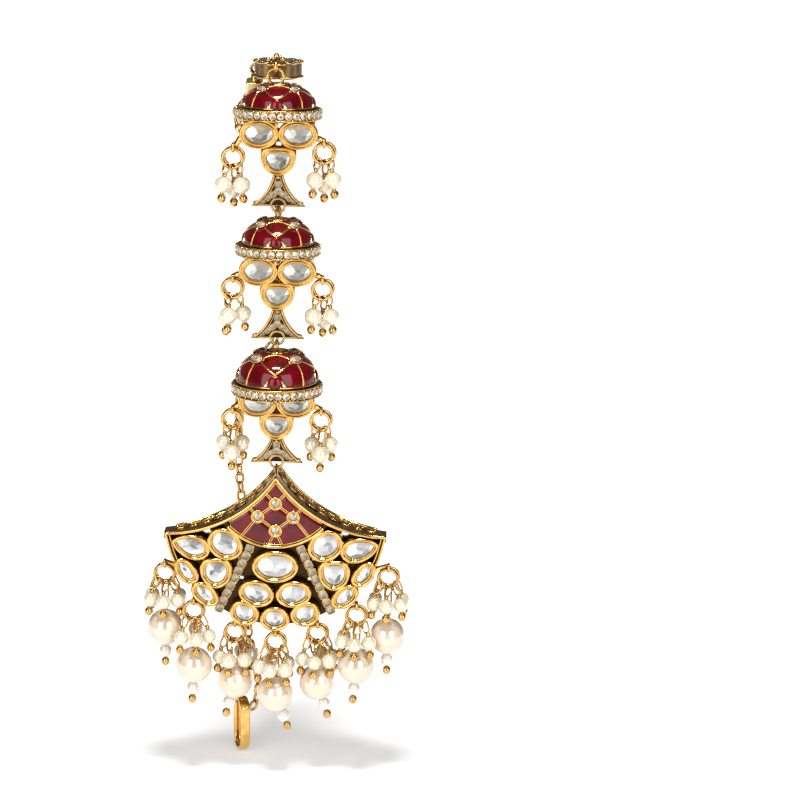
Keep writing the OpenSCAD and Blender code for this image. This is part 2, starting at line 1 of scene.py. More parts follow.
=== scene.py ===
import math

import bmesh
import bpy
import mathutils
import numpy as np
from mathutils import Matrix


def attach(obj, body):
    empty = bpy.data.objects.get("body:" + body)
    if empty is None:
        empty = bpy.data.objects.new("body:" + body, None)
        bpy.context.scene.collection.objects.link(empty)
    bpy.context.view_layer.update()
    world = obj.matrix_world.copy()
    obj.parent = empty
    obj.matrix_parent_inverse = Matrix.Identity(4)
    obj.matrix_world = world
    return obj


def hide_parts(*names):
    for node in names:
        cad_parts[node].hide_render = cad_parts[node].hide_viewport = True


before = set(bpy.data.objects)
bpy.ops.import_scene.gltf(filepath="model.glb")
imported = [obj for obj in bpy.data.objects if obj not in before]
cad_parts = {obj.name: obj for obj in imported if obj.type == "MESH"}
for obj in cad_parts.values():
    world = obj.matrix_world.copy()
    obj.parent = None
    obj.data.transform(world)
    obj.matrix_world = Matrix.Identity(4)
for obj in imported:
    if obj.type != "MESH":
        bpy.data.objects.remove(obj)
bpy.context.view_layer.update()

# Flower stud: a cast gilt flower, satin brown on its wall between two bright rims, with a
# beaded upper edge. The post, the front eye and the chain's eye are soldered to it.
# It stays as it is in the construction, and gets its finish, its rims and its beads here.
MM = 0.001
STUD_H = 3.0
STUD_X = -0.6
HANG_Y = -6.3
PETAL_R = 2.05
PETAL_RING = 2.55
PETALS = 5
RIM_BEAD = 0.17
RIM_WIRE = 0.24
EYE_R = 1.45
EYE_Z = 2.8
POST_LEAN = math.radians(17.5)
POST_FOOT = np.array([-5.0, 1.0, 0.3])
POST_DIR = np.array([0, math.sin(POST_LEAN), -math.cos(POST_LEAN)])
POST_STEPS = ((10.72, 0.42), (5.3, 0.62))
GRANULES = [[-2.1, -3.75, 3.4], [0.5, -3.8, 3.5], [-0.65, -3.9, 4.15], [-0.1, -3.65, 3.95],
            [-1.2, -3.75, 3.65]]
GRANULE_SIZES = [1.0, 1.0, 1.05, 0.7, 0.7]
GRANULE_R = 0.52


def material(name, values):
    """New material with these values at its shader's inputs: the material, its node tree
    and its shader."""
    finish = bpy.data.materials.new(name)
    finish.use_nodes = True
    shader = finish.node_tree.nodes["Principled BSDF"]
    for key, value in values.items():
        shader.inputs[key].default_value = value
    return finish, finish.node_tree, shader


def noise(tree, scale, detail=2):
    """Soft noise over the object's own coordinates."""
    cloud = tree.nodes.new("ShaderNodeTexNoise")
    cloud.inputs["Scale"].default_value = scale
    cloud.inputs["Detail"].default_value = detail
    tree.links.new(tree.nodes.new("ShaderNodeTexCoord").outputs["Object"], cloud.inputs["Vector"])
    return cloud.outputs["Fac"]


def ramp(tree, value, low, dark, high, light):
    """Ramp from a dark colour at the low value to a light one at the high value."""
    tint = tree.nodes.new("ShaderNodeValToRGB")
    for stop, place, colour in zip(tint.color_ramp.elements, (low, high), (dark, light)):
        stop.position = place
        stop.color = (*colour, 1)
    tree.links.new(value, tint.inputs["Fac"])
    return tint.outputs["Color"]


def blend(tree, kind, *values):
    """Mix of two colours: its share and both colours, each a socket or a plain value."""
    mix = tree.nodes.new("ShaderNodeMix")
    mix.data_type = "RGBA"
    mix.blend_type = kind
    for place, value in zip((0, 6, 7), values):
        if isinstance(value, bpy.types.NodeSocket):
            tree.links.new(value, mix.inputs[place])
        else:
            mix.inputs[place].default_value = value
    return mix.outputs[2]


def mapped(tree, value, ranges, kind="LINEAR"):
    """A value carried from one range to another, both given by their ends."""
    scale = tree.nodes.new("ShaderNodeMapRange")
    scale.interpolation_type = kind
    for key, number in zip(("From Min", "From Max", "To Min", "To Max"), ranges):
        scale.inputs[key].default_value = number
    tree.links.new(value, scale.inputs["Value"])
    return scale.outputs["Result"]


def lift_by(tree, value, socket, strength, distance):
    """Lets a noise raise and sink the surface that a shader's socket sees."""
    lift = tree.nodes.new("ShaderNodeBump")
    lift.inputs["Strength"].default_value = strength
    lift.inputs["Distance"].default_value = distance
    tree.links.new(value, lift.inputs["Height"])
    tree.links.new(lift.outputs["Normal"], socket)


def y_part(tree, kind):
    """The part along Y of the object's coordinates or of its faces' direction."""
    axes = tree.nodes.new("ShaderNodeSeparateXYZ")
    tree.links.new(tree.nodes.new("ShaderNodeTexCoord").outputs[kind], axes.inputs["Vector"])
    return axes.outputs["Y"]


def metal(name, bright, deep, rough, patina_shade_colour=None, reach=0.9, front=None):
    """Gilt metal: its colour drifts in soft clouds between a bright and a deep gold, its gloss
    drifts with them, fine grain lifts the surface, painted shade and patina darken the crevices,
    and where a front colour is given, painted shade darkens the faces turned to the front."""
    finish, tree, shader = material(name, {"Metallic": 1.0})
    drift = noise(tree, 900, 3)
    colour = ramp(tree, drift, 0.3, deep, 0.65, bright)
    # Crevices: ambient occlusion darkens them towards the given colour, painted shade together with the
    # patina of the hollows.
    if patina_shade_colour is not None:
        corner = tree.nodes.new("ShaderNodeAmbientOcclusion")
        corner.samples = 6
        corner.inputs["Distance"].default_value = reach * MM
        patina_and_painted_shade = ramp(tree, corner.outputs["AO"], 0.25, patina_shade_colour, 0.7, (1, 1, 1))
        colour = blend(tree, "MULTIPLY", 1.0, colour, patina_and_painted_shade)
    # Front: faces turned to the front blend towards the given near-black colour, which is painted shade.
    if front is not None:
        share = mapped(tree, y_part(tree, "Normal"), (-0.6, -0.9, 0, 1))
        colour = blend(tree, "MIX", share, colour, (*front, 1))
    tree.links.new(colour, shader.inputs["Base Color"])
    gloss = mapped(tree, drift, (0, 1, rough * 0.75, rough * 1.35))
    tree.links.new(gloss, shader.inputs["Roughness"])
    lift_by(tree, noise(tree, 6000), shader.inputs["Normal"], 0.06, 0.0001)
    return finish


def woven(grid, around=False, along=False):
    """Faces over a grid of points: four neighbours make one face, and a direction that is
    closed joins its last line to its first."""
    rows, columns = grid.shape[:2]
    number = np.arange(rows * columns).reshape(rows, columns)
    if around:
        number = np.concatenate([number, number[:, :1]], axis=1)
    if along:
        number = np.concatenate([number, number[:1]], axis=0)
    cells = [number[:-1, :-1], number[:-1, 1:], number[1:, 1:], number[1:, :-1]]
    return grid.reshape(-1, 3), np.stack(cells, axis=-1).reshape(-1, 4), np.empty((0, 3), int)


def full_turn(count):
    """Even steps of a full turn."""
    return np.linspace(0, 2 * math.pi, count, endpoint=False)


def placed(x, y, z):
    """Points from their coordinates, each of them a list or one number for all."""
    return np.column_stack(np.broadcast_arrays(x, y, z)).astype(float)


def oval(wide, tall, y=0.0, count=24):
    """Oval that faces the front, from its half width and its half height."""
    t = full_turn(count)
    return placed(wide * np.cos(t), y, tall * np.sin(t))


def level(radius, height, count=14):
    """Level circle at a height."""
    t = full_turn(count)
    return placed(radius * np.cos(t), radius * np.sin(t), height)


def unit(vectors):
    """Vectors of length one."""
    return vectors / np.linalg.norm(vectors, axis=-1, keepdims=True)


def capped(part, count, first, last):
    """Closes both ends of a tube-like grid with a fan of triangles to one point each."""
    points, quads, _ = part
    total = len(points)
    near = np.arange(count)
    far = total - count + near
    start = np.column_stack([np.roll(near, -1), near, np.full(count, total)])
    end = np.column_stack([far, np.roll(far, -1), np.full(count, total + 1)])
    return np.vstack([points, first, last]), quads, np.vstack([start, end])


def wire(path, radius, sides=8, closed=False, up=(0, 0, 1), flat=1.0):
    """Drawn wire: a circle, or an oval where flat isn't 1, stands across the path at each of
    its points, one of its axes square to the direction called up."""
    path = np.asarray(path, float)
    if closed:
        ahead = np.roll(path, -1, axis=0) - np.roll(path, 1, axis=0)
    else:
        ahead = np.gradient(path, axis=0)
    ahead = unit(ahead)
    side = np.cross(ahead, np.asarray(up, float))
    side = side / np.maximum(np.linalg.norm(side, axis=1, keepdims=True), 1e-9)
    over = np.cross(side, ahead)
    turn = full_turn(sides)[:, None]
    radius = np.broadcast_to(np.asarray(radius, float), len(path))[:, None, None]
    grid = path[:, None] + radius * (np.cos(turn) * side[:, None] + flat * np.sin(turn) * over[:, None])
    if closed:
        return woven(grid, around=True, along=True)
    first = path[0] - 0.4 * radius[0, 0, 0] * ahead[0]
    last = path[-1] + 0.4 * radius[-1, 0, 0] * ahead[-1]
    return capped(woven(grid, around=True), sides, first, last)


def face_wire(path, radius, sides=6, closed=False):
    """Wire whose cross-section keeps square to the front."""
    return wire(path, radius, sides, closed, up=(0, 1, 0))


def ball(radius, around=14, rows=8, tall=1.0):
    """Ball or egg: circles of latitude between two poles, stretched upwards by tall."""
    lift = np.linspace(-math.pi / 2, math.pi / 2, rows + 2)[1:-1, None]
    turn = full_turn(around)
    grid = radius * np.stack(
        [np.cos(lift) * np.cos(turn), np.cos(lift) * np.sin(turn), tall * np.sin(lift) + 0 * turn], axis=-1
    )
    return capped(woven(grid, around=True), around, [[0, 0, -radius * tall]], [[0, 0, radius * tall]])


def joined(parts):
    """Several parts as one: their points follow each other and their faces count on."""
    starts = np.cumsum([0] + [len(part[0]) for part in parts[:-1]])
    return tuple(
        np.vstack([part[k] + (start if k else 0) for part, start in zip(parts, starts)]) for k in range(3)
    )


def copies(part, places, turns=None, sizes=None):
    """One part at many places: scaled by its size, turned by its matrix, moved to its place."""
    points, quads, tris = part
    places = np.atleast_2d(np.asarray(places, float))
    count = len(places)
    moved = np.broadcast_to(points, (count, *points.shape))
    if sizes is not None:
        moved = moved * np.reshape(sizes, (count, 1, -1))
    if turns is not None:
        moved = np.einsum("kij,kpj->kpi", turns, moved)
    moved = moved + places[:, None]
    shift = (np.arange(count) * len(points))[:, None, None]
    return moved.reshape(-1, 3), (quads + shift).reshape(-1, 4), (tris + shift).reshape(-1, 3)


def object_of(name, data):
    """New object in the scene from its data."""
    thing = bpy.data.objects.new(name, data)
    bpy.context.scene.collection.objects.link(thing)
    return thing


def put(name, parts, finish, body, nodes=(), crease=None):
    """Makes the object from parts in millimetres, its faces turned outwards, and says what it
    rides on and which finish it has, and hides the construction's nodes that it takes the place of."""
    points, quads, tris = joined(parts) if isinstance(parts, list) else parts
    mesh = bpy.data.meshes.new(name)
    mesh.from_pydata((points * MM).tolist(), [], quads.tolist() + tris.tolist())
    shell = bmesh.new()
    shell.from_mesh(mesh)
    bmesh.ops.recalc_face_normals(shell, faces=shell.faces[:])
    shell.to_mesh(mesh)
    shell.free()
    mesh.polygons.foreach_set("use_smooth", np.full(len(mesh.polygons), crease != 0))
    if crease:
        mesh.set_sharp_from_angle(angle=math.radians(crease))
    mesh.materials.append(finish)
    piece = object_of(name, mesh)
    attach(piece, body)
    if nodes:
        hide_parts(*nodes)
    return piece


def dress(node, finish):
    """Gives a node of the construction its finish."""
    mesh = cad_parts[node].data
    mesh.materials.clear()
    mesh.materials.append(finish)


def flower_line(grow, count=22):
    """Edge of the flower: an arc round each petal's centre, between the notches."""
    notch = math.asin(PETAL_RING * math.sin(math.pi / PETALS) / (PETAL_R + grow))
    swing = math.pi - notch + math.pi / PETALS
    arc = np.linspace(-swing, swing, count)
    lines = []
    for petal in range(PETALS):
        out = math.radians(90 + 360 / PETALS * petal)
        centre = np.array([STUD_X + PETAL_RING * math.cos(out), PETAL_RING * math.sin(out)])
        lines.append(centre + (PETAL_R + grow) * np.column_stack([np.cos(arc + out), np.sin(arc + out)]))
    return np.vstack(lines)


def lifted(line, height):
    """A flat line at a height."""
    return np.column_stack([line, np.full(len(line), height)])


bright_gold = metal("bright_gold", (0.91, 0.58, 0.19), (0.74, 0.42, 0.10), 0.13,
                    patina_shade_colour=(0.26, 0.14, 0.05), reach=0.8)
aged_gold = metal("aged_gold", (0.74, 0.48, 0.19), (0.54, 0.32, 0.10), 0.2, patina_shade_colour=(0.12, 0.07, 0.03))
brown_satin = metal("brown_satin", (0.30, 0.20, 0.095), (0.17, 0.105, 0.045), 0.42)
dress("ear_stud", brown_satin)

rims = [wire(lifted(flower_line(0.0), height), RIM_WIRE, closed=True) for height in (0.17, STUD_H - 0.15)]
beads = lifted(flower_line(0.12, 26), STUD_H + 0.12)
rims.append(copies(ball(RIM_BEAD, 6, 3), beads[np.arange(len(beads)) % 3 != 0]))
rims.append(copies(ball(GRANULE_R), GRANULES, sizes=GRANULE_SIZES))
put("stud_rims_and_granules", rims, aged_gold, "root")

t = full_turn(40)
eye = placed(STUD_X + EYE_R * np.sin(t), HANG_Y + EYE_R - EYE_R * np.cos(t), EYE_Z)
gilding = [wire(eye, 0.32, closed=True)]
for length, thick in POST_STEPS:
    line = POST_FOOT + np.outer(np.linspace(0.1, length, 4), POST_DIR)
    gilding.append(wire(line, thick, 12, up=(1, 0, 0)))
put("stud_eye_and_post_gilding", gilding, bright_gold, "root")

# Five cut stones in the stud's petals: glass over silver foil, domed, sunk in the seats.
# They face up, so the front view hardly shows them.


def foiled(name, pale, shade, clear=0.2, foil=0.45):
    """Cut glass over silver foil, under a clear polished surface: each facet has its own grey
    between a dark and a pale colour, painted reflections and shade of the facets."""
    finish, tree, shader = material(name, {
        "Metallic": foil, "Roughness": clear, "Coat Weight": 0.8, "Coat Roughness": 0.03,
    })
    # Each facet's grey, read here, paints the reflections and shade in the facets.
    facet = tree.nodes.new("ShaderNodeAttribute")
    facet.attribute_name = "facet"
    total = tree.nodes.new("ShaderNodeMath")
    total.operation = "MULTIPLY_ADD"
    total.inputs[1].default_value = 0.3
    tree.links.new(noise(tree, 700, 4), total.inputs[0])
    tree.links.new(facet.outputs["Fac"], total.inputs[2])
    tree.links.new(ramp(tree, total.outputs[0], 0.2, shade, 0.98, pale), shader.inputs["Base Color"])
    return finish


def put_stones(name, part, finish, body, greys, nodes=()):
    """Makes an object of cut stones, with one grey per face: painted reflections of their facets."""
    piece = put(name, part, finish, body, nodes, crease=0)
    layer = piece.data.attributes.new("facet", "FLOAT", "FACE")
    layer.data.foreach_set("value", np.asarray(greys, np.float32))


draw = np.random.default_rng(7)
clear_foil = foiled("clear_foil", (0.95, 0.95, 0.94), (0.17, 0.18, 0.19))
dress("stud_stones", clear_foil)

# Square clutch nut, pushed up the post: satin gilt brass with eased edges and a tapered foot.
# It is one piece with a bore, and slides off in use.
NUT_FROM = 1.1
NUT_LEVELS = [(0.66, 0.0, 1.0), (1.36, 0.0, 0.25), (1.5, 0.14, 0.22), (1.5, 2.62, 0.22), (1.53, 2.78, 0.5),
              (1.46, 2.95, 1.0), (1.06, 3.86, 1.0), (0.92, 4.0, 1.0), (0.66, 4.0, 1.0)]


def eased(value, power):
    """A value's size raised to a power, with the value's sign."""
    return np.sign(value) * np.abs(value) ** power


def squared(half, round_by, count=48):
    """Rounded square as a power curve: both coordinates are the cosine and the sine raised
    to a power under one, so that the corners stay eased."""
    t = full_turn(count)
    return half * np.column_stack([eased(np.cos(t), round_by), eased(np.sin(t), round_by)])


nut = np.stack([lifted(squared(half, power), height) for half, height, power in NUT_LEVELS])
nut_turn = np.array([[1, 0, 0], [0, POST_DIR[2], POST_DIR[1]], [0, -POST_DIR[1], POST_DIR[2]]])
satin_gold = metal("satin_gold", (0.92, 0.68, 0.34), (0.82, 0.56, 0.25), 0.34)
put("square_nut", copies(woven(nut, around=True, along=True), [POST_FOOT + NUT_FROM * POST_DIR], [nut_turn]),
    satin_gold, "root", ["ear_nut"], crease=50)

# Rings: each is bent from round gilt wire. The wide ones are split rings of two turns that
# lie side by side, the narrow ones are a single turn.


def loop(radius, thick, centre, face=True, turns=1, lean=0.0, count=40):
    """Ring of wire, or two turns of it side by side: a circle seen face-on from the front,
    or edge-on, with a small lean of its plane. The turns sit a little off each other."""
    c, s = math.cos(lean), math.sin(lean)
    tip = np.array([[1, 0, 0], [0, c, -s], [0, s, c]])
    if not face:
        tip = np.array([[0, 1, 0], [-1, 0, 0], [0, 0, 1.0]]) @ tip
    axis = tip @ np.array([0, 1, 0])
    rings = []
    for step in np.arange(turns) - (turns - 1) / 2:
        slip = step * thick * (1.25 * tip @ np.array([0.75, 0, 0.65]) + 1.6 * axis)
        path = centre + oval(radius, radius, 0.0, count) @ tip.T + slip
        rings.append(wire(path, thick, 8, closed=True, up=axis))
    return joined(rings)


TOP_RING_AT = (STUD_X, HANG_Y, 2.47)
TOP_RING_R = 0.9
TOP_RING_WIRE = 0.32
CHAIN_RING_AT = (-4.95, 2.95, 1.27)
CHAIN_RING_R = 0.8
CHAIN_RING_WIRE = 0.2

link_ring = loop(TOP_RING_R, TOP_RING_WIRE, TOP_RING_AT, face=False)
put("link_ring", link_ring, bright_gold, "ring", ["top_ring"])
split_ring = loop(CHAIN_RING_R, CHAIN_RING_WIRE, CHAIN_RING_AT, turns=2)
put("chain_split_ring", split_ring, aged_gold, "root", ["chain_ring"])

# Enamelled domes: deep ruby glass enamel fired on a hollow copper dome, smooth and thick,
# held between the crown plate and the rim band. Each is one skin of revolution.
CROWN, DOME_R, DOME_H, BAND_R, BAND_H, UPPER, LOWER, DROP = range(8)
TIERS = [
    [-0.5, 6.4, 4.4, 7.6, 1.9, -9.6, -14.5, 8.2],
    [-25.1, 6.4, 4.7, 7.6, 1.9, -34.8, -39.4, 8.0],
    [-49.8, 7.4, 6.0, 8.3, 2.1, -59.7, -64.1, 7.1],
]
DOME_POWER = 0.87
ENAMEL_T = 0.35


def on_dome(tier, across, rise, lift=0.0):
    """Point of a dome, from its turn away from the front and the angle of its profile, both
    in degrees: radius and height are the cosine and the sine to the dome's power."""
    row = TIERS[tier]
    across, rise = np.radians(across), np.radians(rise)
    out = (row[DOME_R] + lift) * np.abs(np.cos(rise)) ** DOME_POWER
    height = row[CROWN] - row[DOME_H] + (row[DOME_H] + lift) * np.abs(np.sin(rise)) ** DOME_POWER
    return np.stack([out * np.sin(across), HANG_Y - out * np.cos(across), height + 0 * across], axis=-1)


def revolved(profile, count=96):
    """Surface of revolution about the tiers' line from (radius, height) pairs."""
    profile = np.asarray(profile, float)
    t = full_turn(count)
    return np.stack([
        profile[:, :1] * np.cos(t), HANG_Y + profile[:, :1] * np.sin(t), profile[:, 1:] + 0 * t
    ], axis=-1)


def enamel(name, light, dark):
    """Glossy glass enamel: ruby that drifts lighter in soft clouds, under a clear coat."""
    finish, tree, shader = material(name, {
        "Roughness": 0.3, "Coat Weight": 0.8, "Coat Roughness": 0.04, "Specular IOR Level": 0.05,
    })
    cloud = noise(tree, 420)
    tree.links.new(ramp(tree, cloud, 0.35, dark, 0.7, light), shader.inputs["Base Color"])
    lift_by(tree, cloud, shader.inputs["Coat Normal"], 0.12, 0.0004)
    return finish


ruby = enamel("ruby_enamel_glass", (0.19, 0.0, 0.007), (0.085, 0.0, 0.002))
rise = np.radians(np.linspace(0.5, 77, 36))
for tier, row in enumerate(TIERS):
    body = f"tier_{tier + 1}"
    outer = np.column_stack([
        row[DOME_R] * np.cos(rise) ** DOME_POWER,
        row[CROWN] - row[DOME_H] + row[DOME_H] * np.sin(rise) ** DOME_POWER,
    ])
    inner = (outer - ENAMEL_T * np.column_stack([np.cos(rise), np.sin(rise)]))[::-1]
    skin = woven(revolved(np.vstack([outer, inner])), around=True, along=True)
    put(f"{body}_ruby_dome", skin, ruby, body, [f"{body}_enamel"], crease=60)

# Cell wires: flat gold wires soldered on the dome before firing. Pairs cross in front, at the
# sides and behind, arches join the gems over the crossings, and a rim ring and a crown ring
# close the pattern at both ends.
UPPER_LEG = [(36, 52), (29, 47), (21, 41.5), (10.5, 33), (0, 25), (-8, 15), (-18, 1)]
ARCH = [(36, 55), (28, 62), (16, 68), (0, 70), (-16, 68), (-28, 62), (-36, 55)]
MERIDIAN = [(45, 46), (45.5, 30), (45, 15), (44, 1)]
CELL_LINES = [UPPER_LEG, [(-a, b) for a, b in UPPER_LEG], ARCH, MERIDIAN]


def smooth_line(points, steps=6):
    """Smooth curve through points: each stretch is the cubic whose slopes come from the
    neighbours on both sides."""
    p = np.asarray(points, float)
    p = np.vstack([2 * p[0] - p[1], p, 2 * p[-1] - p[-2]])
    t = np.linspace(0, 1, steps, endpoint=False)[None, :, None]
    a, b, c, d = (p[k:len(p) - 3 + k, None] for k in range(4))
    line = 0.5 * (2 * b + (c - a) * t + (2 * a - 5 * b + 4 * c - d) * t**2 + (3 * b - a - 3 * c + d) * t**3)
    return np.vstack([line.reshape(-1, p.shape[1]), p[-2]])


def dome_wire(tier, points, thick=0.2):
    """Wire that lies on a dome through points of (turn, profile angle)."""
    line = smooth_line(points)
    path = on_dome(tier, line[:, 0], line[:, 1], 0.02)
    outward = on_dome(tier, line[:, 0], line[:, 1], 1.0) - path
    return wire(path, thick, 6, up=outward, flat=0.75)


around = np.linspace(0, 360, 96, endpoint=False)
for tier in range(len(TIERS)):
    wires = [dome_wire(tier, [(quarter + a, b) for a, b in line])
             for quarter in (0, 90, 180, 270) for line in CELL_LINES]
    wires.append(wire(on_dome(tier, around, 2.5), 0.2, closed=True))
    wires.append(wire(on_dome(tier, around[::2], 76), 0.22, closed=True))
    put(f"tier_{tier + 1}_cell_wires", wires, bright_gold, f"tier_{tier + 1}")

# Dome gems: four pear-shaped crystals in leaf-edged collets, and under each crossing a round
# bud of dark ruby with a white glint stone at each side.
GEM_RISE = 52.0
GEM_SINK = [0.18, 0.0, 0.0]
BUD_RISE = 10.5
GLINT_RISE = 6.0


def cut_stone(line, sink, height, mid=0.62, table=0.3, drop=0.0, deep=0.5):
    """Rose-cut stone over a closed line of 24 points in the XZ plane, its front towards -Y:
    a girdle, a ring of eight points at mid size, a table of four, and a flat back."""
    centre = line.mean(axis=0)
    low = centre + [0, drop]
    eight = low + mid * (line[1::3] - centre)
    four = low + table * (line[1::6] - centre)
    levels = ((line, sink), (eight, sink - 0.66 * height), (four, sink - height), (line, sink + deep))
    ring = [upright(flat, y) for flat, y in levels]
    points = np.vstack(ring + [[[centre[0], sink + deep, centre[1]]]])
    j, k, i = np.arange(8), np.arange(4), np.arange(24)
    girdle = np.column_stack([3 * j, 3 * j + 1, (3 * j + 2) % 24, 24 + j])
    links = np.column_stack([(3 * j + 2) % 24, (3 * j + 3) % 24, 24 + (j + 1) % 8, 24 + j])
    steps = np.column_stack([24 + (2 * k + 1) % 8, 24 + (2 * k + 2) % 8, 32 + (k + 1) % 4, 32 + k])
    table_face = [[32, 33, 34, 35]]
    wall = np.column_stack([i, (i + 1) % 24, 36 + (i + 1) % 24, 36 + i])
    corners = np.column_stack([24 + 2 * k, 24 + (2 * k + 1) % 8, 32 + k])
    back = np.column_stack([36 + i, 36 + (i + 1) % 24, np.full(24, 60)])
    return points, np.vstack([girdle, links, steps, table_face, wall]), np.vstack([corners, back])


def facet_reflection_greys(count, contrast=0.3):
    """Grey of each face of a cut stone, painted reflections: pale round the edge and paler towards
    the top, a painted highlight, and mixed darker facets round the table, painted shade."""
    eighth = np.sin(2 * math.pi * (np.arange(8) + 0.4) / 8)
    fourth = np.sin(2 * math.pi * (np.arange(4) + 0.4) / 4)
    crown = 0.66 + 0.22 * eighth + draw.uniform(-0.12, 0.12, (count, 8))
    inner = 0.42 + 0.3 * fourth + draw.uniform(-0.22, 0.22, (count, 4))
    greys = np.concatenate([
        crown, crown + draw.uniform(-0.05, 0.08, (count, 8)), inner, draw.uniform(0.3, 0.6, (count, 1)),
        np.full((count, 24), 0.4),
    ], axis=1)
    corners = [inner + draw.uniform(-0.06, 0.06, (count, 4)), np.full((count, 24), 0.4)]
    greys = np.concatenate([greys.ravel(), np.concatenate(corners, axis=1).ravel()])
    return 0.5 + (greys - 0.5) * (0.7 + contrast)


def round_line(radius, tall=1.0, count=24):
    """Circle or oval of points in the XZ plane."""
    t = full_turn(count)
    return radius * np.column_stack([np.cos(t), tall * np.sin(t)])


def upright(line, y):
    """A flat line stood up to face the front, at a depth."""
    return placed(line[:, 0], y, line[:, 1])


def outward_turns(out):
    """Matrices that take -Y to the outward directions and +Z as near as can be to up."""
    out = unit(out)
    side = unit(np.cross([0, 0, 1.0], out))
    return np.stack([side, -out, np.cross(out, side)], axis=-1)


bud_enamel = enamel("bud_enamel_glass", (0.20, 0.002, 0.006), (0.12, 0.0, 0.003))
pink_foil = foiled("pink_foil", (0.9, 0.78, 0.74), (0.34, 0.24, 0.24))
white_glint = foiled("white_glint", (0.95, 0.95, 0.95), (0.7, 0.7, 0.7), foil=0.3)
gem = cut_stone(round_line(0.72, 0.62), -0.28, 0.22, deep=0.35)
glint = cut_stone(round_line(0.28), -0.05, 0.12, deep=0.2)
collet = [face_wire(oval(0.82, 0.58, -0.2), 0.15, closed=True)]
t = np.linspace(-1, 1, 9)
for side in (1, -1):
    leaf = placed(side * (0.75 + 0.42 * (t + 1) / 2), -0.1, 0.25 * (1 - t) * side)
    collet.append(wire(leaf, 0.26 * np.cos(t * 1.3) + 0.05, 6, up=(0, 1, 0), flat=0.5))
quarters = 90.0 * np.arange(4)
for tier, row in enumerate(TIERS):
    body = f"tier_{tier + 1}"
    grow = 1.3 * row[DOME_R] / 6.4
    base = on_dome(tier, quarters + 45, GEM_RISE, -GEM_SINK[tier])
    frames = outward_turns(on_dome(tier, quarters + 45, GEM_RISE, 1.0) - base)
    spots = (base, frames, np.full(4, grow))
    put_stones(f"{body}_dome_gems", copies(gem, *spots), pink_foil, body, facet_reflection_greys(4))
    put(f"{body}_gem_collets", copies(joined(collet), *spots), aged_gold, body)

    low = on_dome(tier, quarters, BUD_RISE, -0.1)
    away = on_dome(tier, quarters, BUD_RISE, 1.0) - low
    points, quads, tris = ball(0.88 * grow, 20, 11)
    buds = copies((points * [1, 0.42, 1], quads, tris), low, outward_turns(away))
    put(f"{body}_ruby_buds", buds, bud_enamel, body)
    sides = np.vstack([on_dome(tier, quarters + turn, GLINT_RISE, 0.08) for turn in (-13.0, 13.0)])
    glints = copies(glint, sides, outward_turns(np.vstack([away, away])))
    put_stones(f"{body}_glints", glints, white_glint, body, facet_reflection_greys(8))

# Rim bands: a cast channel round each dome's foot, closely set with small pale crystals, round
# and square by turns, each in its own collet with grains of gold between. A pointed drop
# hangs from the band's front.
BAND_COUNT = [33, 33, 36]
BAND_LINES = {"round": round_line(0.56), "square": squared(0.52, 0.45, 24)}
small_foil = foiled("small_foil", (0.84, 0.83, 0.76), (0.12, 0.11, 0.08), 0.2, 0.35)


def small_collet(line, thick=0.11):
    """Collet: a closed wire round the stone's line, just in front of its seat."""
    return face_wire(upright(1.14 * line[::2], -0.12), thick, 5, closed=True)


def rolled(tips):
    """Matrices that roll a stone in its own plane by angles."""
    c, s, o = np.cos(tips), np.sin(tips), 0 * tips
    return np.stack([c, o, s, o, 1 + o, o, -s, o, c], axis=-1).reshape(-1, 3, 3)


def bearing(turn):
    """Level directions from their turns away from the front."""
    return placed(np.sin(turn), -np.cos(turn), 0.0)


for tier, row in enumerate(TIERS):
    body, count = f"tier_{tier + 1}", BAND_COUNT[tier]
    middle = row[CROWN] - row[DOME_H] - row[BAND_H] / 2
    step = 2 * math.pi / count
    out = bearing(step * (np.arange(count) + 0.5))
    seat = np.array([0, HANG_Y, middle + 0.1]) + (row[BAND_R] - 0.02) * out
    which = draw.permutation(count) % 3 == 0
    sizes = draw.uniform(0.97, 1.12, count)
    frames = outward_turns(out) @ rolled(draw.uniform(-0.6, 0.6, count))
    grains = []
    for word, pick in (("round", ~which), ("square", which)):
        spots = (seat[pick], frames[pick], sizes[pick])
        stone = cut_stone(BAND_LINES[word], -0.16, 0.2, table=0.42, deep=0.3)
        tone = facet_reflection_greys(int(pick.sum()), 0.9)
        tone = tone + np.where(draw.uniform(0, 1, len(tone)) < 0.3, -0.3, 0.0)
        put_stones(f"{body}_band_{word}_crystals", copies(stone, *spots), small_foil, body, tone)
        grains.append(copies(small_collet(BAND_LINES[word]), *spots))
    between = (row[BAND_R] + 0.1) * bearing(step * np.arange(count))
    for lift in (0.72, -0.6):
        grains.append(copies(ball(0.22, 6, 3), between + [0, HANG_Y, middle + lift]))
    for height, out_by in ((row[BAND_H] / 2 - 0.05, -0.25), (0.12 - row[BAND_H] / 2, 0.0)):
        ring = level(row[BAND_R] + out_by, middle + height, 96) + [0, HANG_Y, 0]
        grains.append(wire(ring, 0.17, 6, closed=True))
    drip = np.array([0.0, -0.45, -0.9, -1.25]) + middle - row[BAND_H] / 2
    drip = placed(0, HANG_Y - row[BAND_R] + 0.15, drip)
    grains.append(wire(drip, [0.3, 0.34, 0.2, 0.06], up=(1, 0, 0)))
    put(f"{body}_band_grains", grains, aged_gold, body)

# Tier frames: the cast metal behind the enamel and the stones, warm gold on its edges and dark
# in its hollows with patina and painted shade. The construction's own shape shows at the sides
# and the back.
frame_gold = metal("frame_gold", (0.72, 0.47, 0.19), (0.54, 0.32, 0.11), 0.28,
                   patina_shade_colour=(0.08, 0.045, 0.02), reach=1.4)
for tier in range(len(TIERS)):
    dress(f"tier_{tier + 1}_frame", frame_gold)

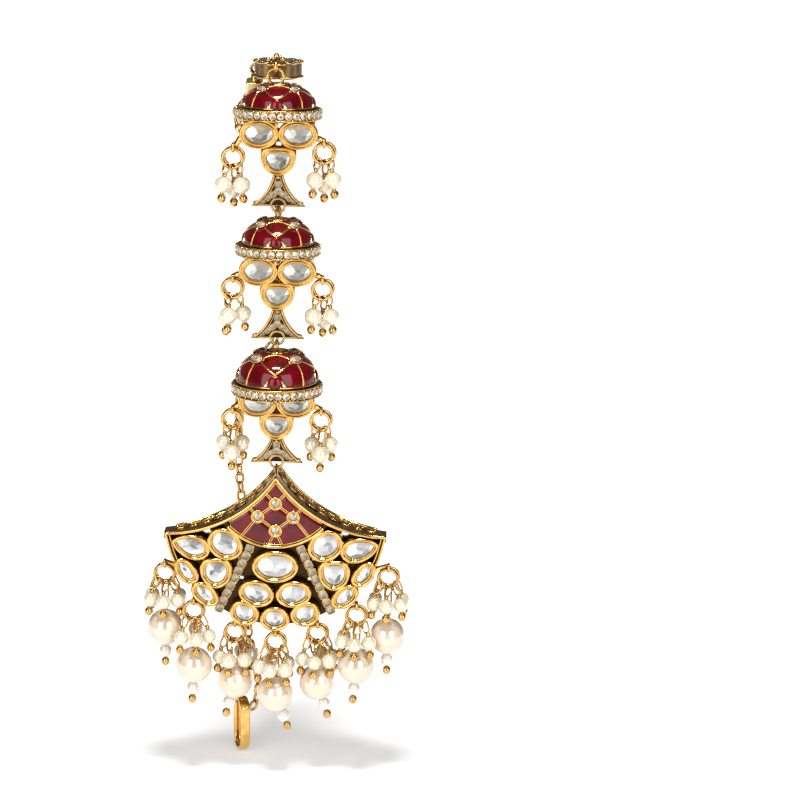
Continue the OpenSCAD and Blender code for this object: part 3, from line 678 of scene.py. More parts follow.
# Box settings: each large stone sits in a closed box of gold strip whose rim is burnished over
# its foil in two rounded beads with a groove between.
SETTING_DEPTH = 2.6
RIM_PROFILE = [
    (-0.05, 1.0), (-0.05, 0.1), (0.0, -0.06), (0.08, -0.2), (0.2, -0.29), (0.33, -0.27), (0.43, -0.17),
    (0.5, -0.1), (0.58, -0.1), (0.66, -0.2), (0.76, -0.27), (0.87, -0.23), (0.97, -0.08), (1.04, 0.15),
    (1.08, 0.5), (0.7, 0.75), (0.3, 1.0),
]
STONE_QUADS = 45
STONE_INSET = 0.98
AT_X, AT_Z, WIDE, TALL, TURN, POINT, FLAT = range(7)


def outline(row, inset, count=72):
    """Outline of a stone's row: an ellipse whose right end narrows by its point value, and
    whose upper half is squared off by its flat value, turned and moved to its place."""
    t = full_turn(count)
    k = np.where(np.sin(t) > 0, row[FLAT], -row[FLAT])
    power = 1 / (1 + np.maximum(k, 0))
    up = eased(np.sin(t), power) * np.abs(np.sin(t / 2)) ** row[POINT]
    x = (row[WIDE] / 2 - inset) * eased(np.cos(t), power)
    z = (row[TALL] / 2 - inset) * ((1 - k) * up + row[FLAT])
    c, s = math.cos(math.radians(row[TURN])), math.sin(math.radians(row[TURN]))
    return np.column_stack([row[AT_X] + x * c - z * s, row[AT_Z] + x * s + z * c])


def rim(row, front, depth, profile):
    """Burnished rim: the profile is carried round the stone's outline, and its back edge
    reaches down the box's side."""
    lines = []
    for inset, height in profile:
        height = depth - 0.02 if height == 1.0 and inset < 0 else height
        lines.append(upright(outline(row, inset), HANG_Y + front + height))
    return woven(np.stack(lines), around=True, along=True)


def set_stones(name, rows, front, depth, body, nodes, finish=clear_foil, profile=RIM_PROFILE):
    """Rims and cut stones of a group of settings."""
    rims = [rim(row, front, depth, profile) for row in rows]
    put(f"{name}_burnished_rims", rims, bright_gold, body)
    cut = [cut_stone(outline(row, STONE_INSET, 24), HANG_Y + front + 0.2, 0.42, mid=draw.uniform(0.58, 0.7),
                     table=draw.uniform(0.26, 0.36), drop=-0.07 * row[TALL]) for row in rows]
    greys = [facet_reflection_greys(1) for _ in rows]
    greys = [grey[:STONE_QUADS] for grey in greys] + [grey[STONE_QUADS:] for grey in greys]
    put_stones(f"{name}_cut_stones", cut, finish, body, np.concatenate(greys), nodes)


old_foil = foiled("old_foil", (0.70, 0.71, 0.66), (0.11, 0.11, 0.08))
for tier, row in enumerate(TIERS):
    body = f"tier_{tier + 1}"
    rows = [[3.52, row[UPPER], 7.2, 5.5, 0, 0, 0], [-3.52, row[UPPER], 7.2, 5.5, 0, 0, 0],
            [0, row[LOWER], 6.4, 5.2, 0, 0, 0.35]]
    set_stones(body, rows, -SETTING_DEPTH / 2, SETTING_DEPTH, body, [f"{body}_stones"], old_foil)

# Fishtails: the flared links under the lower stones, a double gold edge round a near-black bed,
# which is painted shade of the hollow behind the stones, with eight small square crystals in a
# fan, and a gold ball on each tip.
FISH_BALL = 0.55
FISH_ARCH_R = 1.45
FISH_SIDE_AT = (9.3, 7.3)
FISH_SIDE_R = 8.6
FISH_UNDER_STONE = 2.35
FOOT_LOOP_R = 1.2
LOOP_WIRE = 0.26
FISH_SPOTS = np.array([
    (0, 3.95, 0, 1.0), (0, 2.75, 45, 0.95), (0.98, 2.05, 30, 0.9), (-0.98, 2.05, -30, 0.9),
    (1.95, 1.4, 40, 0.85), (-1.95, 1.4, -40, 0.85), (2.85, 0.78, 20, 0.7), (-2.85, 0.78, -20, 0.7),
])


def fish_edge(row, side, inset, count=14):
    """Curved side of a fishtail: part of a circle that stands beside it."""
    foot = row[LOWER] - row[DROP]
    z = np.linspace(row[LOWER] - FISH_UNDER_STONE, foot + 0.1, count)
    drop = z - foot - FISH_SIDE_AT[1]
    x = FISH_SIDE_AT[0] - np.sqrt(np.maximum((FISH_SIDE_R + inset) ** 2 - drop**2, 0))
    return placed(side * x, HANG_Y - 0.72, z)


# The fishtail bed's near-black finish is painted shade of the hollow behind the crystals.
fishtail_shade_sheet = metal("fishtail_shade_sheet", (0.05, 0.03, 0.014), (0.025, 0.015, 0.008), 0.5)
row_foil = foiled("row_foil", (0.50, 0.48, 0.40), (0.10, 0.095, 0.07), 0.28, 0.3)
fish_line = squared(0.54, 0.4, 24)
fish_square = cut_stone(fish_line, -0.12, 0.14, mid=0.74, table=0.5, deep=0.3)
arc = np.radians(np.linspace(12, 168, 20))
for tier, row in enumerate(TIERS):
    body, foot = f"tier_{tier + 1}", row[LOWER] - row[DROP]
    parts = []
    for side in (1, -1):
        parts.append(face_wire(fish_edge(row, side, 0.12), 0.22))
        parts.append(face_wire(fish_edge(row, side, 0.55), 0.1))
        tip = [[side * 4.0, HANG_Y - 0.35, foot + 0.42]]
        parts.append(copies(ball(FISH_BALL, 12, 7), tip, sizes=[[1.25, 1.0, 0.85]]))
    arch = placed(FISH_ARCH_R * np.cos(arc), HANG_Y - 0.7, foot + FISH_ARCH_R * np.sin(arc))
    parts.append(face_wire(arch, 0.12))
    parts.append(copies(ball(0.42, 10, 6), [[0, HANG_Y - 0.75, row[LOWER] - 2.95]]))
    # Bed: a near-black sheet between the edges, painted shade.
    bed = np.stack([fish_edge(row, side, 0.3) + [0, push, 0]
                    for side, push in ((-1, 0.28), (1, 0.28), (1, 0.4), (-1, 0.4))], axis=1)
    bed = capped(woven(bed, around=True), 4, [bed[0].mean(axis=0)], [bed[-1].mean(axis=0)])
    put(f"{body}_fishtail_bed", bed, fishtail_shade_sheet, body, crease=40)
    parts.append(loop(FOOT_LOOP_R, LOOP_WIRE, (0, HANG_Y, foot)))
    x, z, tips, sizes = FISH_SPOTS.T
    places = placed(x, HANG_Y - 0.42, foot + z * (0.85 if tier == 2 else 1))
    spots = (places, rolled(np.radians(tips)), sizes)
    crystals = copies(fish_square, *spots)
    put_stones(f"{body}_fishtail_crystals", crystals, row_foil, body, facet_reflection_greys(len(x), 0.1))
    parts.append(copies(small_collet(fish_line, 0.1), *spots))
    put(f"{body}_fishtail_edges", parts, aged_gold, body)

# Side arms and hanging loops: thick tapered prongs bent to an eye, soldered to the corners of
# the upper settings, and the loop on top of each dome.
SIDE_X = 8.3
SIDE_RING_R = 1.7
SIDE_BELOW = 3.4
SIDE_LOW = [[1.1, 0], [0, 0], [0, 0]]
ARM_EYE_R = 0.65
TOP_LOOP_R = 0.95
LINK_STEP = 0.57


def side_ring_at(tier, side):
    """Centre of the jump ring at a tier's left, -1, or at its right, 1."""
    height = TIERS[tier][UPPER] - SIDE_BELOW - SIDE_LOW[tier][(side + 1) // 2]
    return np.array([side * SIDE_X, HANG_Y, height])


for tier, row in enumerate(TIERS):
    arms = []
    for side in (1, -1):
        eye = side_ring_at(tier, side) + [0, 0, SIDE_RING_R - LINK_STEP + ARM_EYE_R]
        arm = smooth_line([[5.9, 0.2, row[UPPER] - 0.5], [6.7, -0.1, row[UPPER] - 0.6],
                           [7.6, -0.15, eye[2] + 0.75], [SIDE_X, 0, eye[2] + 0.55]])
        thick = np.interp(np.arange(len(arm)), [0, len(arm) * 0.6, len(arm) - 1], [0.62, 0.55, 0.36])
        arms.append(wire(arm * [side, 1, 1] + [0, HANG_Y, 0], thick))
        arms.append(loop(ARM_EYE_R, 0.32, eye, face=False, count=24))
    if tier:
        above = TIERS[tier - 1]
        loop_z = above[LOWER] - above[DROP] - FOOT_LOOP_R + LINK_STEP - TOP_LOOP_R
        arms.append(loop(TOP_LOOP_R, LOOP_WIRE, (0, HANG_Y, loop_z), face=False))
    else:
        arms.append(loop(1.45, 0.2, (STUD_X, HANG_Y, 0.69), turns=2))
    put(f"tier_{tier + 1}_arms_and_loop", arms, bright_gold, f"tier_{tier + 1}")

# Pearls: glass pearls with a thick ivory coat, drilled through. Their lustre is a soft clear
# layer over a satin body with faint clouds.
SEED_R = 1.45
BUNCH_SEED_R = 1.6
BALL_R = 0.82
EYE_LIFT = 0.36


def pearl_coat(name, light, dark, glow):
    """Pearl: cream that drifts warmer in faint clouds, some light let in, and a clear coat."""
    finish, tree, shader = material(name, {
        "Roughness": 0.28, "Coat Weight": 1.0, "Coat Roughness": 0.09, "Coat IOR": 2.6,
        "Subsurface Weight": glow, "Subsurface Radius": (1.0, 0.8, 0.6), "Subsurface Scale": 0.0006,
        "Sheen Weight": 0.15,
    })
    tree.links.new(ramp(tree, noise(tree, 350), 0.3, dark, 0.7, light), shader.inputs["Base Color"])
    lift_by(tree, noise(tree, 2600), shader.inputs["Normal"], 0.01, 0.0002)
    return finish


def put_seeds(name, places, radius, largest, body, node):
    """Seed pearls at their places, each of a slightly different size."""
    spots, turns = zip(*places)
    sizes = draw.uniform(0.96, largest, len(places))
    put(name, copies(ball(radius, 28, 17), spots, np.array(turns), sizes), ivory, body, [node])


ivory = pearl_coat("ivory_pearl", (0.86, 0.78, 0.58), (0.78, 0.68, 0.46), 0.04)
champagne = pearl_coat("champagne_pearl", (0.88, 0.74, 0.57), (0.81, 0.65, 0.47), 0.1)
snow = pearl_coat("white_bead", (0.92, 0.86, 0.78), (0.86, 0.79, 0.70), 0.15)

# Head pins: each pearl is threaded on a pin whose lower end is a gold ball and whose upper end
# is bent into a long eye that hangs on the jump ring, its tail wound once over the pearl.


def yaw(degrees):
    """Matrix of a turn about the upright axis."""
    a = math.radians(degrees)
    return np.array([[math.cos(a), -math.sin(a), 0], [math.sin(a), math.cos(a), 0], [0, 0, 1]])


def pearl_place(angle, out, down, tilt):
    """Centre and frame of a pearl that hangs out from its ring's foot and tilts outwards."""
    spin = yaw(angle)
    return spin @ np.array([out, 0, -down]), spin @ rolled(np.radians([-tilt]))[0]


def hung_at(index, count, radius):
    """Place on the ring's foot where one of the wires hangs."""
    step = index - (count - 1) / 2
    a = math.radians(20 * step + (-15 if step < 0 else 15))
    return np.array([radius * math.sin(a), 0, -radius * math.cos(a)])


def long_eye(start, end, width, thick=0.22, count=28):
    """Long loop of wire between two points: two half circles joined by straight sides, in a
    plane that faces partly forwards."""
    length = np.linalg.norm(end - start)
    down = (end - start) / length
    side = unit(np.cross(down, [0.35, 1.0, 0.0]))
    t = full_turn(count)
    reach = (length - width) / 2
    along = np.where(np.cos(t) > 0, reach, -reach) + width / 2 * np.cos(t)
    across = width / 2 * np.sin(t) * (1 - 0.25 * np.cos(t))
    path = start + np.outer(along + length / 2, down) + np.outer(across, side)
    return wire(path, thick, 6, closed=True, up=np.cross(side, down))


def pin_set(places, order, seed=SEED_R):
    """Eyes, windings and end balls of the pins on one ring."""
    tip, cup = ball(BALL_R, 14, 8, 1.06), ball(0.42, 10, 5, 0.5)
    parts = []
    for (centre, turn), hung in zip(places, order):
        top = centre + turn @ [0, 0, seed + 0.3]
        start = hung + [0, 0, EYE_LIFT]
        parts.append(long_eye(start, top + 0.1 * (start - top), 1.2))
        for lift in (0.12, 0.42):
            coil = centre + level(0.33, seed + lift) @ turn.T
            parts.append(wire(coil, 0.14, 6, closed=True, up=turn @ [0, 0, 1]))
        for end, below in ((tip, BALL_R + 0.04), (cup, 0.02)):
            parts.append(copies(end, [centre - turn @ [0, 0, seed + below]], [turn]))
    return parts


BUNCH_TURN = [[90, 90], [130, 90], [270, 270]]
BUNCH_OUT = 1.95
BUNCH_DOWN = (6.1, 4.9, 4.9)
BUNCH_TILT = 8
pin_gold = metal("pin_gold", (0.80, 0.51, 0.18), (0.60, 0.35, 0.10), 0.17, patina_shade_colour=(0.26, 0.15, 0.06))
for tier in range(len(TIERS)):
    for side, word in ((-1, "left"), (1, "right")):
        name, body = f"tier_{tier + 1}_{word}", f"tier_{tier + 1}"
        centre = side_ring_at(tier, side)
        places, order = [], []
        for index in range(3):
            angle = BUNCH_TURN[tier][(side + 1) // 2] + 120 * index
            spot, turn = pearl_place(angle, BUNCH_OUT, BUNCH_DOWN[index], BUNCH_TILT)
            lean = math.cos(math.radians(angle))
            place = 0 if lean < -0.1 else 2 if lean > 0.1 else 1
            places.append((spot + centre, turn))
            order.append(hung_at(place, 3, SIDE_RING_R) + centre)
        parts = [loop(SIDE_RING_R + 0.1, 0.31, centre, turns=2, lean=0.12)]
        parts += pin_set(places, order, BUNCH_SEED_R)
        put(f"{name}_bunch_metal", parts, pin_gold, body, [f"{name}_pins"])
        put_seeds(f"{name}_bunch_pearls", places, BUNCH_SEED_R, 1.02, body, f"{name}_pearls")

# Fan: a cast and pierced plate inside a deep edge wall. The metal between the settings is dark
# with painted shade on its front faces and with patina and painted shade in its crevices, and the
# wall's top is satin brown.
FAN_FRONT = -2.3
FAN_DEPTH = 2.2
EDGE_AT = (20.5, -60.6)
EDGE_R = 24.1
SIDE_STONES = [
    [16.0, -87.6, 7.6, 5.6, 16, 0.45, 0], [9.5, -87.0, 7.1, 6.0, 32, 0, 0],
    [16.9, -92.5, 5.9, 4.0, 52, 0.2, 0.1], [11.2, -92.8, 6.2, 6.0, 0, 0, 0.3],
    [13.3, -97.0, 6.0, 4.1, 40, 0, 0],
]
LEFT_STONES = [[-x, z, w, h, 180 - a, p, -f] for x, z, w, h, a, p, f in SIDE_STONES]
CENTRE_STONE = [[0, -91.3, 8.9, 6.4, 0, 0, 0]]
LOWER_STONES = [
    [3.55, -96.7, 6.9, 5.3, 8, 0, 0], [-3.55, -96.7, 6.9, 5.3, -12, 0, 0],
    [5.8, -100.7, 5.7, 4.9, 20, 0, 0.1], [-5.8, -100.7, 5.7, 4.9, -20, 0, 0.1],
    [0, -101.7, 5.7, 4.9, 0, 0, 0],
]
FAN_RIM = [
    (-0.05, 1.0), (-0.05, 0.1), (0.0, -0.1), (0.08, -0.24), (0.2, -0.36), (0.36, -0.42), (0.52, -0.38),
    (0.66, -0.27), (0.75, -0.12), (0.8, -0.08), (0.85, -0.12), (0.92, -0.17), (0.99, -0.13), (1.04, 0.0),
    (1.08, 0.5), (0.7, 0.75), (0.3, 1.0),
]
# Fan frame: its front faces are painted near-black, painted shade of the recesses between the settings, and
# its crevices get painted shade with patina.
fan_front_shaded_gold = metal("fan_front_shaded_gold", (0.66, 0.40, 0.15), (0.44, 0.25, 0.085), 0.3, patina_shade_colour=(0.09, 0.05, 0.02),
                 reach=1.4, front=(0.05, 0.028, 0.012))
dress("fan_frame", fan_front_shaded_gold)
FAN_GROUPS = {"left": LEFT_STONES, "right": SIDE_STONES, "centre": CENTRE_STONE, "lower": LOWER_STONES}
for word, rows in FAN_GROUPS.items():
    node = f"fan_{word}_stone" + ("s" if len(rows) > 1 else "")
    set_stones(f"fan_{word}", rows, FAN_FRONT, FAN_DEPTH, "fan", [node], profile=FAN_RIM)

# Fan edges: bright wires along the front of the two sweeping edges and down the short sides,
# with a thinner wire beside each short one.
FAN_Y = HANG_Y + FAN_FRONT


def edge_line(side, shift, y, count=48):
    """Sweeping upper edge of the fan: part of the circle that stands beside it, moved by a
    shift towards the fan, from the apex out to the corner."""
    radius = EDGE_R + shift
    first = math.acos((0.002 - EDGE_AT[0]) / radius)
    last = math.pi / 2 + math.asin(0.5 / radius) - math.radians(2.0)
    a = 2 * math.pi - np.linspace(first, last, count)
    return placed(side * (EDGE_AT[0] + radius * np.cos(a)), y, EDGE_AT[1] + radius * np.sin(a))


short_side = smooth_line([[20.75, 0, -85.0], [20.3, 0, -86.8], [19.75, 0, -88.8], [19.05, 0, -90.6]])
edges = []
for side in (1, -1):
    down = short_side * [side, 1, 1]
    edges.append(face_wire(edge_line(side, 0.3, FAN_Y - 0.05), 0.36, 8))
    edges.append(face_wire(down + [0, FAN_Y, 0], 0.26, 8))
    edges.append(face_wire(down + [side * -0.62, FAN_Y + 0.1, 0.1], 0.15))
put("fan_edge_wires", edges, bright_gold, "fan")

# Fan panel: ruby enamel laid in cells between thin double wires, with four small round stones
# in collets where the wires meet. The panel's foot is a shallow arc.
KITE_R = 12.75
KITE_Z = -74.85
PANEL_HALF = 8.6
SWELL = 0.34
SWELL_REACH = 0.7
GEMS = np.array([[0, -78.8], [-3.35, -81.4], [3.35, -81.4], [0, -84.1]])
LATTICE = [
    [(0, -78.8), (2.2, -76.5)], [(3.35, -81.4), (5.25, -79.3)], [(3.35, -81.4), (6.7, -85.7)],
    [(0, -84.1), (1.5, -87.4)], [(0, -78.8), (3.35, -81.4)], [(0, -84.1), (3.35, -81.4)],
]


def kite_top(x):
    """Height of the panel's upper edge at a distance across: the fan's own edge, drawn in."""
    return EDGE_AT[1] - np.sqrt(np.maximum((EDGE_R + 0.62) ** 2 - (EDGE_AT[0] - np.abs(x)) ** 2, 0))


def kite_foot(x, inset=0.55):
    """Height of the panel's lower edge, drawn in by an inset: an arc about a point above it."""
    return KITE_Z - np.sqrt((KITE_R - inset) ** 2 - x**2)


x = np.linspace(-PANEL_HALF, PANEL_HALF, 90)
foot = kite_foot(x)
top = np.maximum(kite_top(x), foot + 0.02)
z = foot + (top - foot) * np.linspace(0, 1, 50)[:, None]
lines = [np.array(ends) * [mirror, 1] for ends in LATTICE for mirror in (1, -1)]
near = np.minimum(top - z, z - foot)
for p, q in lines:
    d = q - p
    s = np.clip(((x - p[0]) * d[0] + (z - p[1]) * d[1]) / (d @ d), 0, 1.05)
    near = np.minimum(near, np.hypot(x - p[0] - s * d[0], z - p[1] - s * d[1]))
swell = SWELL * (1 - np.exp(-near / SWELL_REACH))
face, back = (np.stack(np.broadcast_arrays(x, y, z), axis=-1) for y in (FAN_Y + 0.12 - swell, FAN_Y + 0.5))
sheet = np.concatenate([face, back[::-1]])
put("fan_panel_enamel", woven(sheet, along=True), ruby, "fan", ["fan_enamel"])

lattice = []
for p, q in lines:
    normal = 0.17 * unit(np.array([q[1] - p[1], p[0] - q[0]]))
    for step in (normal, -normal):
        line = p + step + np.linspace(0, 1, 12)[:, None] * (q - p)
        lattice.append(face_wire(upright(line, FAN_Y - 0.02), 0.12))
x = np.linspace(-9.0, 9.0, 60)
lattice.append(face_wire(placed(x, FAN_Y - 0.1, kite_foot(x, 0.25)), 0.3, 8))
lattice.append(face_wire(placed(0.95 * x, FAN_Y - 0.05, kite_foot(0.95 * x, 0.72)), 0.12))
for side in (1, -1):
    line = edge_line(side, 0.78, FAN_Y - 0.05, 30)
    lattice.append(face_wire(line[np.abs(line[:, 0]) < 9.3], 0.13))
gem_places = upright(GEMS, FAN_Y - 0.05)
for radius, thick, front in ((1.12, 0.2, -0.12), (0.86, 0.12, -0.14)):
    lattice.append(copies(face_wire(oval(radius, radius, front, 32), thick, 8, closed=True), gem_places))
put("fan_panel_wires", lattice, bright_gold, "fan")
grey_foil = foiled("grey_foil", (0.68, 0.67, 0.60), (0.20, 0.20, 0.16))
gem = cut_stone(round_line(0.82), 0.0, 0.2, mid=0.75, table=0.5, deep=0.4)
put_stones("fan_panel_gems", copies(gem, gem_places), grey_foil, "fan", facet_reflection_greys(4, 0.0))

# Fan rows: two slanting lines of nine small square stones in thin collets, soldered edge to
# edge between the middle and the side settings.
ROW_FROM = (4.9, -87.9)
ROW_REACH = (5.7, -12.0)

stone = cut_stone(squared(0.64, 0.4, 24), -0.02, 0.14, mid=0.74, table=0.5, deep=0.4)
collet = face_wire(upright(squared(0.74, 0.4, 24), -0.08), 0.13, closed=True)
step = np.linspace(0, 1, 9)
for side, word in ((-1, "left"), (1, "right")):
    along, down = (start + reach * step for start, reach in zip(ROW_FROM, ROW_REACH))
    places = placed(side * along, FAN_Y + 0.55, down)
    spin = rolled(side * math.radians(-25) + draw.uniform(-0.12, 0.12, 9))
    stones = copies(stone, places, spin, draw.uniform(0.94, 1.04, 9))
    put_stones(f"fan_{word}_row_stones", stones, row_foil, "fan", facet_reflection_greys(9, 0.4))
    put(f"fan_{word}_row_collets", copies(collet, places, spin), aged_gold, "fan")

# Fan wall: the deep edge wall is pierced and chased with leaf scrolls near its back edge. Here
# they are gilt leaf shapes that lie on the wall, with a bead beside them.
PLAN_R = 47.0
WALL_DEPTH = 8


def wall_wire(side, angle, depth, thick, flat=1.0):
    """Wire on the wall's upper face, at angles of the edge circle and at depths behind the
    front, which are shares of the wall's depth to the round plan."""
    a = np.radians(angle)
    x = EDGE_AT[0] + (EDGE_R - 0.03) * np.cos(a)
    y = FAN_Y + depth * (WALL_DEPTH - PLAN_R + np.sqrt(PLAN_R**2 - x**2))
    path = placed(side * x, y, EDGE_AT[1] + (EDGE_R - 0.03) * np.sin(a))
    return wire(path, thick, 6, up=placed(-side * np.cos(a), 0.0, -np.sin(a)), flat=flat)


wall_parts = []
t = np.linspace(-1, 1, 11)
leaf_thick = 0.42 * np.cos(t * 1.3) + 0.05
for side in (1, -1):
    wall_parts.append(wall_wire(side, np.linspace(212.5, 266.5, 60), 0.985, 0.34))
    for middle in 216.5 + 5.9 * np.arange(9):
        for bow, lift in ((1, 0.8), (-1, 0.58)):
            depth = lift + 0.075 * bow * (1 - t**2) - 0.05 * t
            wall_parts.append(wall_wire(side, middle + 2.7 * t, depth, leaf_thick, 0.5))
put("fan_wall_scrolls", wall_parts, bright_gold, "fan")

# Pearl drops: seven large champagne pearls under the fan's rim, each on its own jump ring with
# a ruff of seed pearls round its top, a small white bead and a gold ball below.
RING_X, RING_Z, BACK, LENGTH, LEAN, SEEDS = range(6)
DROPS = [
    [-21.2, -93.9, 0.7, 10.9, 0, [-150, 150, -90, -30, 30]],
    [-15.5, -100.6, -1.3, 11.0, 3, [-137, 90, -77, -13]],
    [-7.8, -105.5, 0.7, 9.8, 14, [-168, -108, 72, -48, 12]],
    [0.1, -106.8, -0.9, 10.5, -20, [-168, 110, -108, -48, 40]],
    [8.1, -105.5, 0.7, 9.8, -17, [-160, -100, 80, -40, 20]],
    [15.6, -101.0, -1.3, 10.1, 4, [-156, 144, -96, -36]],
    [21.5, -93.9, 0.7, 11.8, 0, [-156, 144, -96, -36, 24]],
]
DROP_RING_R = 1.8
LARGE_R = 3.5
UNDER_R = 1.25
DROP_EYE_R = 0.7
BOWL_Z = -84.4
ARM_IN = 3.6
RUFF_OUT = 3.0
RUFF_DOWN = 4.9
RUFF_TILT = 10
eyes = []
for number, row in enumerate(DROPS, 1):
    name = f"drop_{number}"
    centre = np.array([row[RING_X], HANG_Y + row[BACK], row[RING_Z]])
    places, order = [], []
    for index, angle in enumerate(row[SEEDS]):
        spot, turn = pearl_place(angle, RUFF_OUT, RUFF_DOWN, RUFF_TILT)
        places.append((spot + centre, turn))
        order.append(hung_at(index, len(row[SEEDS]), DROP_RING_R) + centre)
    tip = rolled(np.radians([row[LEAN]]))[0]
    heart = centre - [0, 0, row[LENGTH]]
    parts = [loop(DROP_RING_R + 0.05, 0.31, centre, turns=2, lean=0.12)] + pin_set(places, order)
    parts.append(long_eye(centre + [0, 0, EYE_LIFT - DROP_RING_R], heart + [0, 0, LARGE_R + 0.6], 1.3, 0.2))
    for lift in (0.0, 0.3, 0.6):
        parts.append(wire(heart + level(0.38, LARGE_R + lift), 0.16, 6, closed=True))
    low = heart - tip @ [0, 0, LARGE_R + 2 * UNDER_R + BALL_R + 0.12]
    parts.append(copies(ball(BALL_R, 16, 9, 1.05), [low], [tip]))
    parts.append(face_wire(np.linspace(heart - tip @ [0, 0, LARGE_R - 0.3], low, 4), 0.2, 8))
    put(f"{name}_metal", parts, pin_gold, "fan", [f"{name}_pins"])
    large = copies(ball(LARGE_R, 56, 34), [heart], [tip])
    put(f"{name}_champagne_pearl", large, champagne, "fan", [f"{name}_large_pearl"])
    put_seeds(f"{name}_ruff", places, SEED_R, 1.03, "fan", f"{name}_seed_pearls")
    under = copies(ball(UNDER_R, 28, 17), [heart - tip @ [0, 0, LARGE_R + UNDER_R + 0.04]], [tip])
    put(f"{name}_white_bead", under, snow, "fan")
    eye = centre + [0, 0, DROP_RING_R - LINK_STEP + DROP_EYE_R]
    top = eye + [0, 0, 0.6]
    inward = np.array([row[RING_X], 0, row[RING_Z] - BOWL_Z])
    foot = inward * (1 - ARM_IN / np.linalg.norm(inward)) + [0, HANG_Y - 0.7, BOWL_Z]
    arm = smooth_line([foot, 0.55 * foot + 0.45 * top + [0, -0.1, 0.15], top])
    eyes.append(face_wire(arm, np.linspace(0.5, 0.32, len(arm)), 8))
    eyes.append(loop(DROP_EYE_R, 0.3, eye, face=False, count=24))
put("fan_drop_eyes", eyes, bright_gold, "fan")

# Support chain: a fine cable chain of oval links that takes the earring's weight to the hair.
# It hangs behind the tiers from the split ring on the stud to the hook's ring.
ROUTE = [
    [-4.9, 4.1, -0.3], [-5.2, 5, -2.6], [-6.9, 5.4, -4.6], [-8.3, 4.8, -6.8], [-8.1, 3.9, -9],
    [-6.9, 2.3, -11], [-4.2, 1.5, -12.6], [-1.6, 1.9, -14.6], [-0.7, 2.6, -18], [-0.6, 3.2, -22],
    [-0.6, 3.7, -27], [-0.5, 4.3, -37], [-0.6, 4.3, -48], [-2.5, 4.4, -52], [-6, 4.4, -56],
    [-7.9, 4.4, -61], [-8.1, 4.4, -68], [-7.7, 4.4, -78], [-6.4, 4.4, -92], [-5.8, 4.5, -106],
    [-6.7, 4.5, -118.9],
]
TAIL = [[-5.4, 4.9, -111.0], [-4.7, 4.9, -114.5], [-4.1, 4.9, -118.5], [-4.0, 4.9, -122.0],
        [-4.9, 4.9, -124.6], [-5.3, 4.9, -125.6]]
LINK_PITCH = 1.75
LINK_LONG = 2.55
LINK_WIDE = 2.1
CHAIN_WIRE = 0.31


def chain_links(route, first=0):
    """Oval links at even steps of length along the route, each turned a quarter from the
    last, its long side along the route."""
    line = smooth_line(route, 24)
    length = np.concatenate([[0], np.cumsum(np.linalg.norm(np.diff(line, axis=0), axis=1))])
    count = int(length[-1] / LINK_PITCH)
    at = (np.arange(count) + 0.5) * length[-1] / count
    before, spots, after = (
        np.column_stack([np.interp(at + shift, length, line[:, k]) for k in range(3)])
        for shift in (-0.6, 0, 0.6)
    )
    ahead = unit(after - before)
    turn = np.radians(35 + 90 * ((np.arange(count) + first) % 2))
    guide = placed(np.cos(turn), np.sin(turn), 0.0)
    side = unit(guide - (guide * ahead).sum(axis=1, keepdims=True) * ahead)
    frames = np.stack([side, np.cross(ahead, side), ahead], axis=-1)
    link = oval(LINK_WIDE / 2 - CHAIN_WIRE, LINK_WIDE / 2 - CHAIN_WIRE, 0.0, 22)
    link[:, 2] += np.sign(link[:, 2]) * (LINK_LONG - LINK_WIDE) / 2
    return copies(face_wire(link, CHAIN_WIRE, 7, closed=True), spots, frames)


put("cable_chain", [chain_links(ROUTE), chain_links(TAIL, 1)], pin_gold, "root", ["ear_chain"])

# Hair hook: a long flat link of polished gilt strip that slips over the hair, on a split ring
# at the chain's end.
HOOK_AT = (-7.2, 4.5)
HOOK_TOP = -122.83
HOOK_EYE_Z = -122.13
HOOK_RING_Z = -120.7
HOOK_TURN = 22
HOOK_H = 10.9
HOOK_DEPTH = 5.0
HOOK_W = 1.9
HOOK_BAND = [(-0.5, 0.12), (-0.44, 0.03), (-0.3, 0.0), (0.0, -0.02), (0.3, 0.0), (0.44, 0.03), (0.5, 0.12),
             (0.5, 0.58), (0.42, 0.68), (0.0, 0.7), (-0.42, 0.68), (-0.5, 0.58)]


def racetrack(across, inset, count=96):
    """Two half circles joined by straight sides, drawn in by an inset, in the side plane."""
    t = full_turn(count)
    half = HOOK_DEPTH / 2 - inset
    reach = (HOOK_H + 0.1 - HOOK_DEPTH) / 2
    z = half * np.sin(t) + reach * np.tanh(6 * np.sin(t)) - HOOK_H / 2 + 0.05
    return placed(across * HOOK_W, half * np.cos(t), z)


hook = woven(np.stack([racetrack(*place) for place in HOOK_BAND]), around=True, along=True)
hook = copies(hook, [[*HOOK_AT, HOOK_TOP]], [yaw(HOOK_TURN)])
put("flat_hair_hook", [hook, loop(0.7, 0.28, (*HOOK_AT, HOOK_EYE_Z), face=False, count=24)], bright_gold,
    "root", ["hair_hook"])
put("hook_split_ring", loop(1.3, 0.22, (*HOOK_AT, HOOK_RING_Z), turns=2), pin_gold, "root",
    ["hook_ring"])

# Floor and light: a plain white floor just under the hook, two large soft lamps in front at
# both sides and a small one overhead, in a pale surround. The floor's own glow rises with the
# distance behind the earring, from about a third under the hook to full 7 cm behind it.
FLOOR_Z = -0.1340
FLOOR_HALF = 8.0
GLOW = (0.005, 0.07, 0.38, 1.0)
LAMP_AIM = (0, 0, -0.06)
SURROUND = 0.09

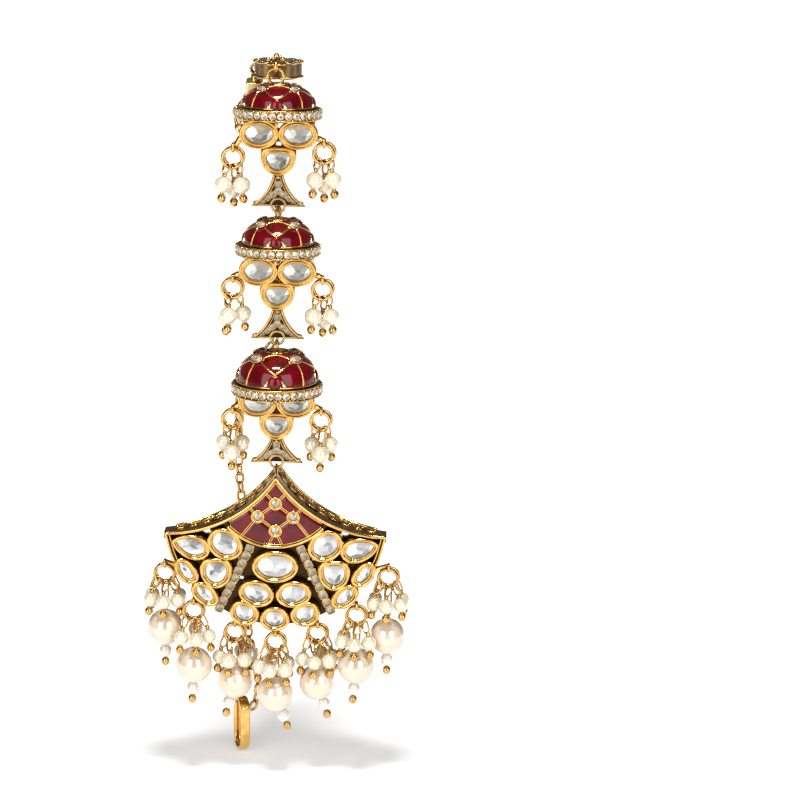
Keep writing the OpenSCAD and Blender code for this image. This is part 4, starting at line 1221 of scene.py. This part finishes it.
white_floor, tree, shader = material("white_floor", {
    "Base Color": (0.9, 0.9, 0.9, 1), "Roughness": 0.9, "Specular IOR Level": 0.0,
    "Emission Color": (1, 1, 1, 1),
})
tree.links.new(mapped(tree, y_part(tree, "Object"), GLOW, "SMOOTHSTEP"), shader.inputs["Emission Strength"])
floor_mesh = bpy.data.meshes.new("floor")
corners = [(x * FLOOR_HALF, y * FLOOR_HALF, FLOOR_Z) for x, y in ((-1, -1), (1, -1), (1, 1), (-1, 1))]
floor_mesh.from_pydata(corners, [], [(0, 1, 2, 3)])
floor_mesh.materials.append(white_floor)
floor = object_of("floor", floor_mesh)


def lamp(name, at, aim, size, power):
    """Soft lamp at a place, turned towards a point."""
    light = bpy.data.lights.new(name, "AREA")
    light.shape = "RECTANGLE"
    light.size, light.size_y = size
    light.energy = power
    thing = object_of(name, light)
    thing.location = at
    away = np.asarray(aim) - np.asarray(at)
    tilt = math.atan2(away[2], math.hypot(away[0], away[1]))
    thing.rotation_euler = (math.pi / 2 + tilt, 0, math.atan2(away[1], away[0]) - math.pi / 2)


lamp("left_lamp", (-0.27, -0.50, 0.14), LAMP_AIM, (0.32, 0.5), 1.45)
lamp("right_lamp", (0.31, -0.48, 0.14), LAMP_AIM, (0.3, 0.5), 1.3)
lamp("top_lamp", (0.0, -0.16, 0.43), (0, -0.01, -0.06), (0.14, 0.06), 2.0)

world = bpy.data.worlds.new("pale_surround")
world.use_nodes = True
world.node_tree.nodes["Background"].inputs["Color"].default_value = (1, 1, 1, 1)
world.node_tree.nodes["Background"].inputs["Strength"].default_value = SURROUND
bpy.context.scene.world = world
bpy.context.scene.view_settings.view_transform = "Standard"

# Camera: in front of the earring and a little above its top, looking down by 13.5 degrees and
# rolled by a little over one degree.
LENS_MM = 94.8
SENSOR_MM = 36
CAMERA_AT = (0.02300, -0.38917, 0.03311)
CAMERA_TILT = math.radians(76.5)
CAMERA_ROLL = math.radians(1.2)

camera_data = bpy.data.cameras.new("camera")
camera_data.lens = LENS_MM
camera_data.sensor_width = SENSOR_MM
camera = object_of("camera", camera_data)
camera.location = CAMERA_AT
look = mathutils.Matrix.Rotation(CAMERA_TILT, 3, "X") @ mathutils.Matrix.Rotation(CAMERA_ROLL, 3, "Z")
camera.rotation_euler = look.to_euler()
bpy.context.scene.camera = camera
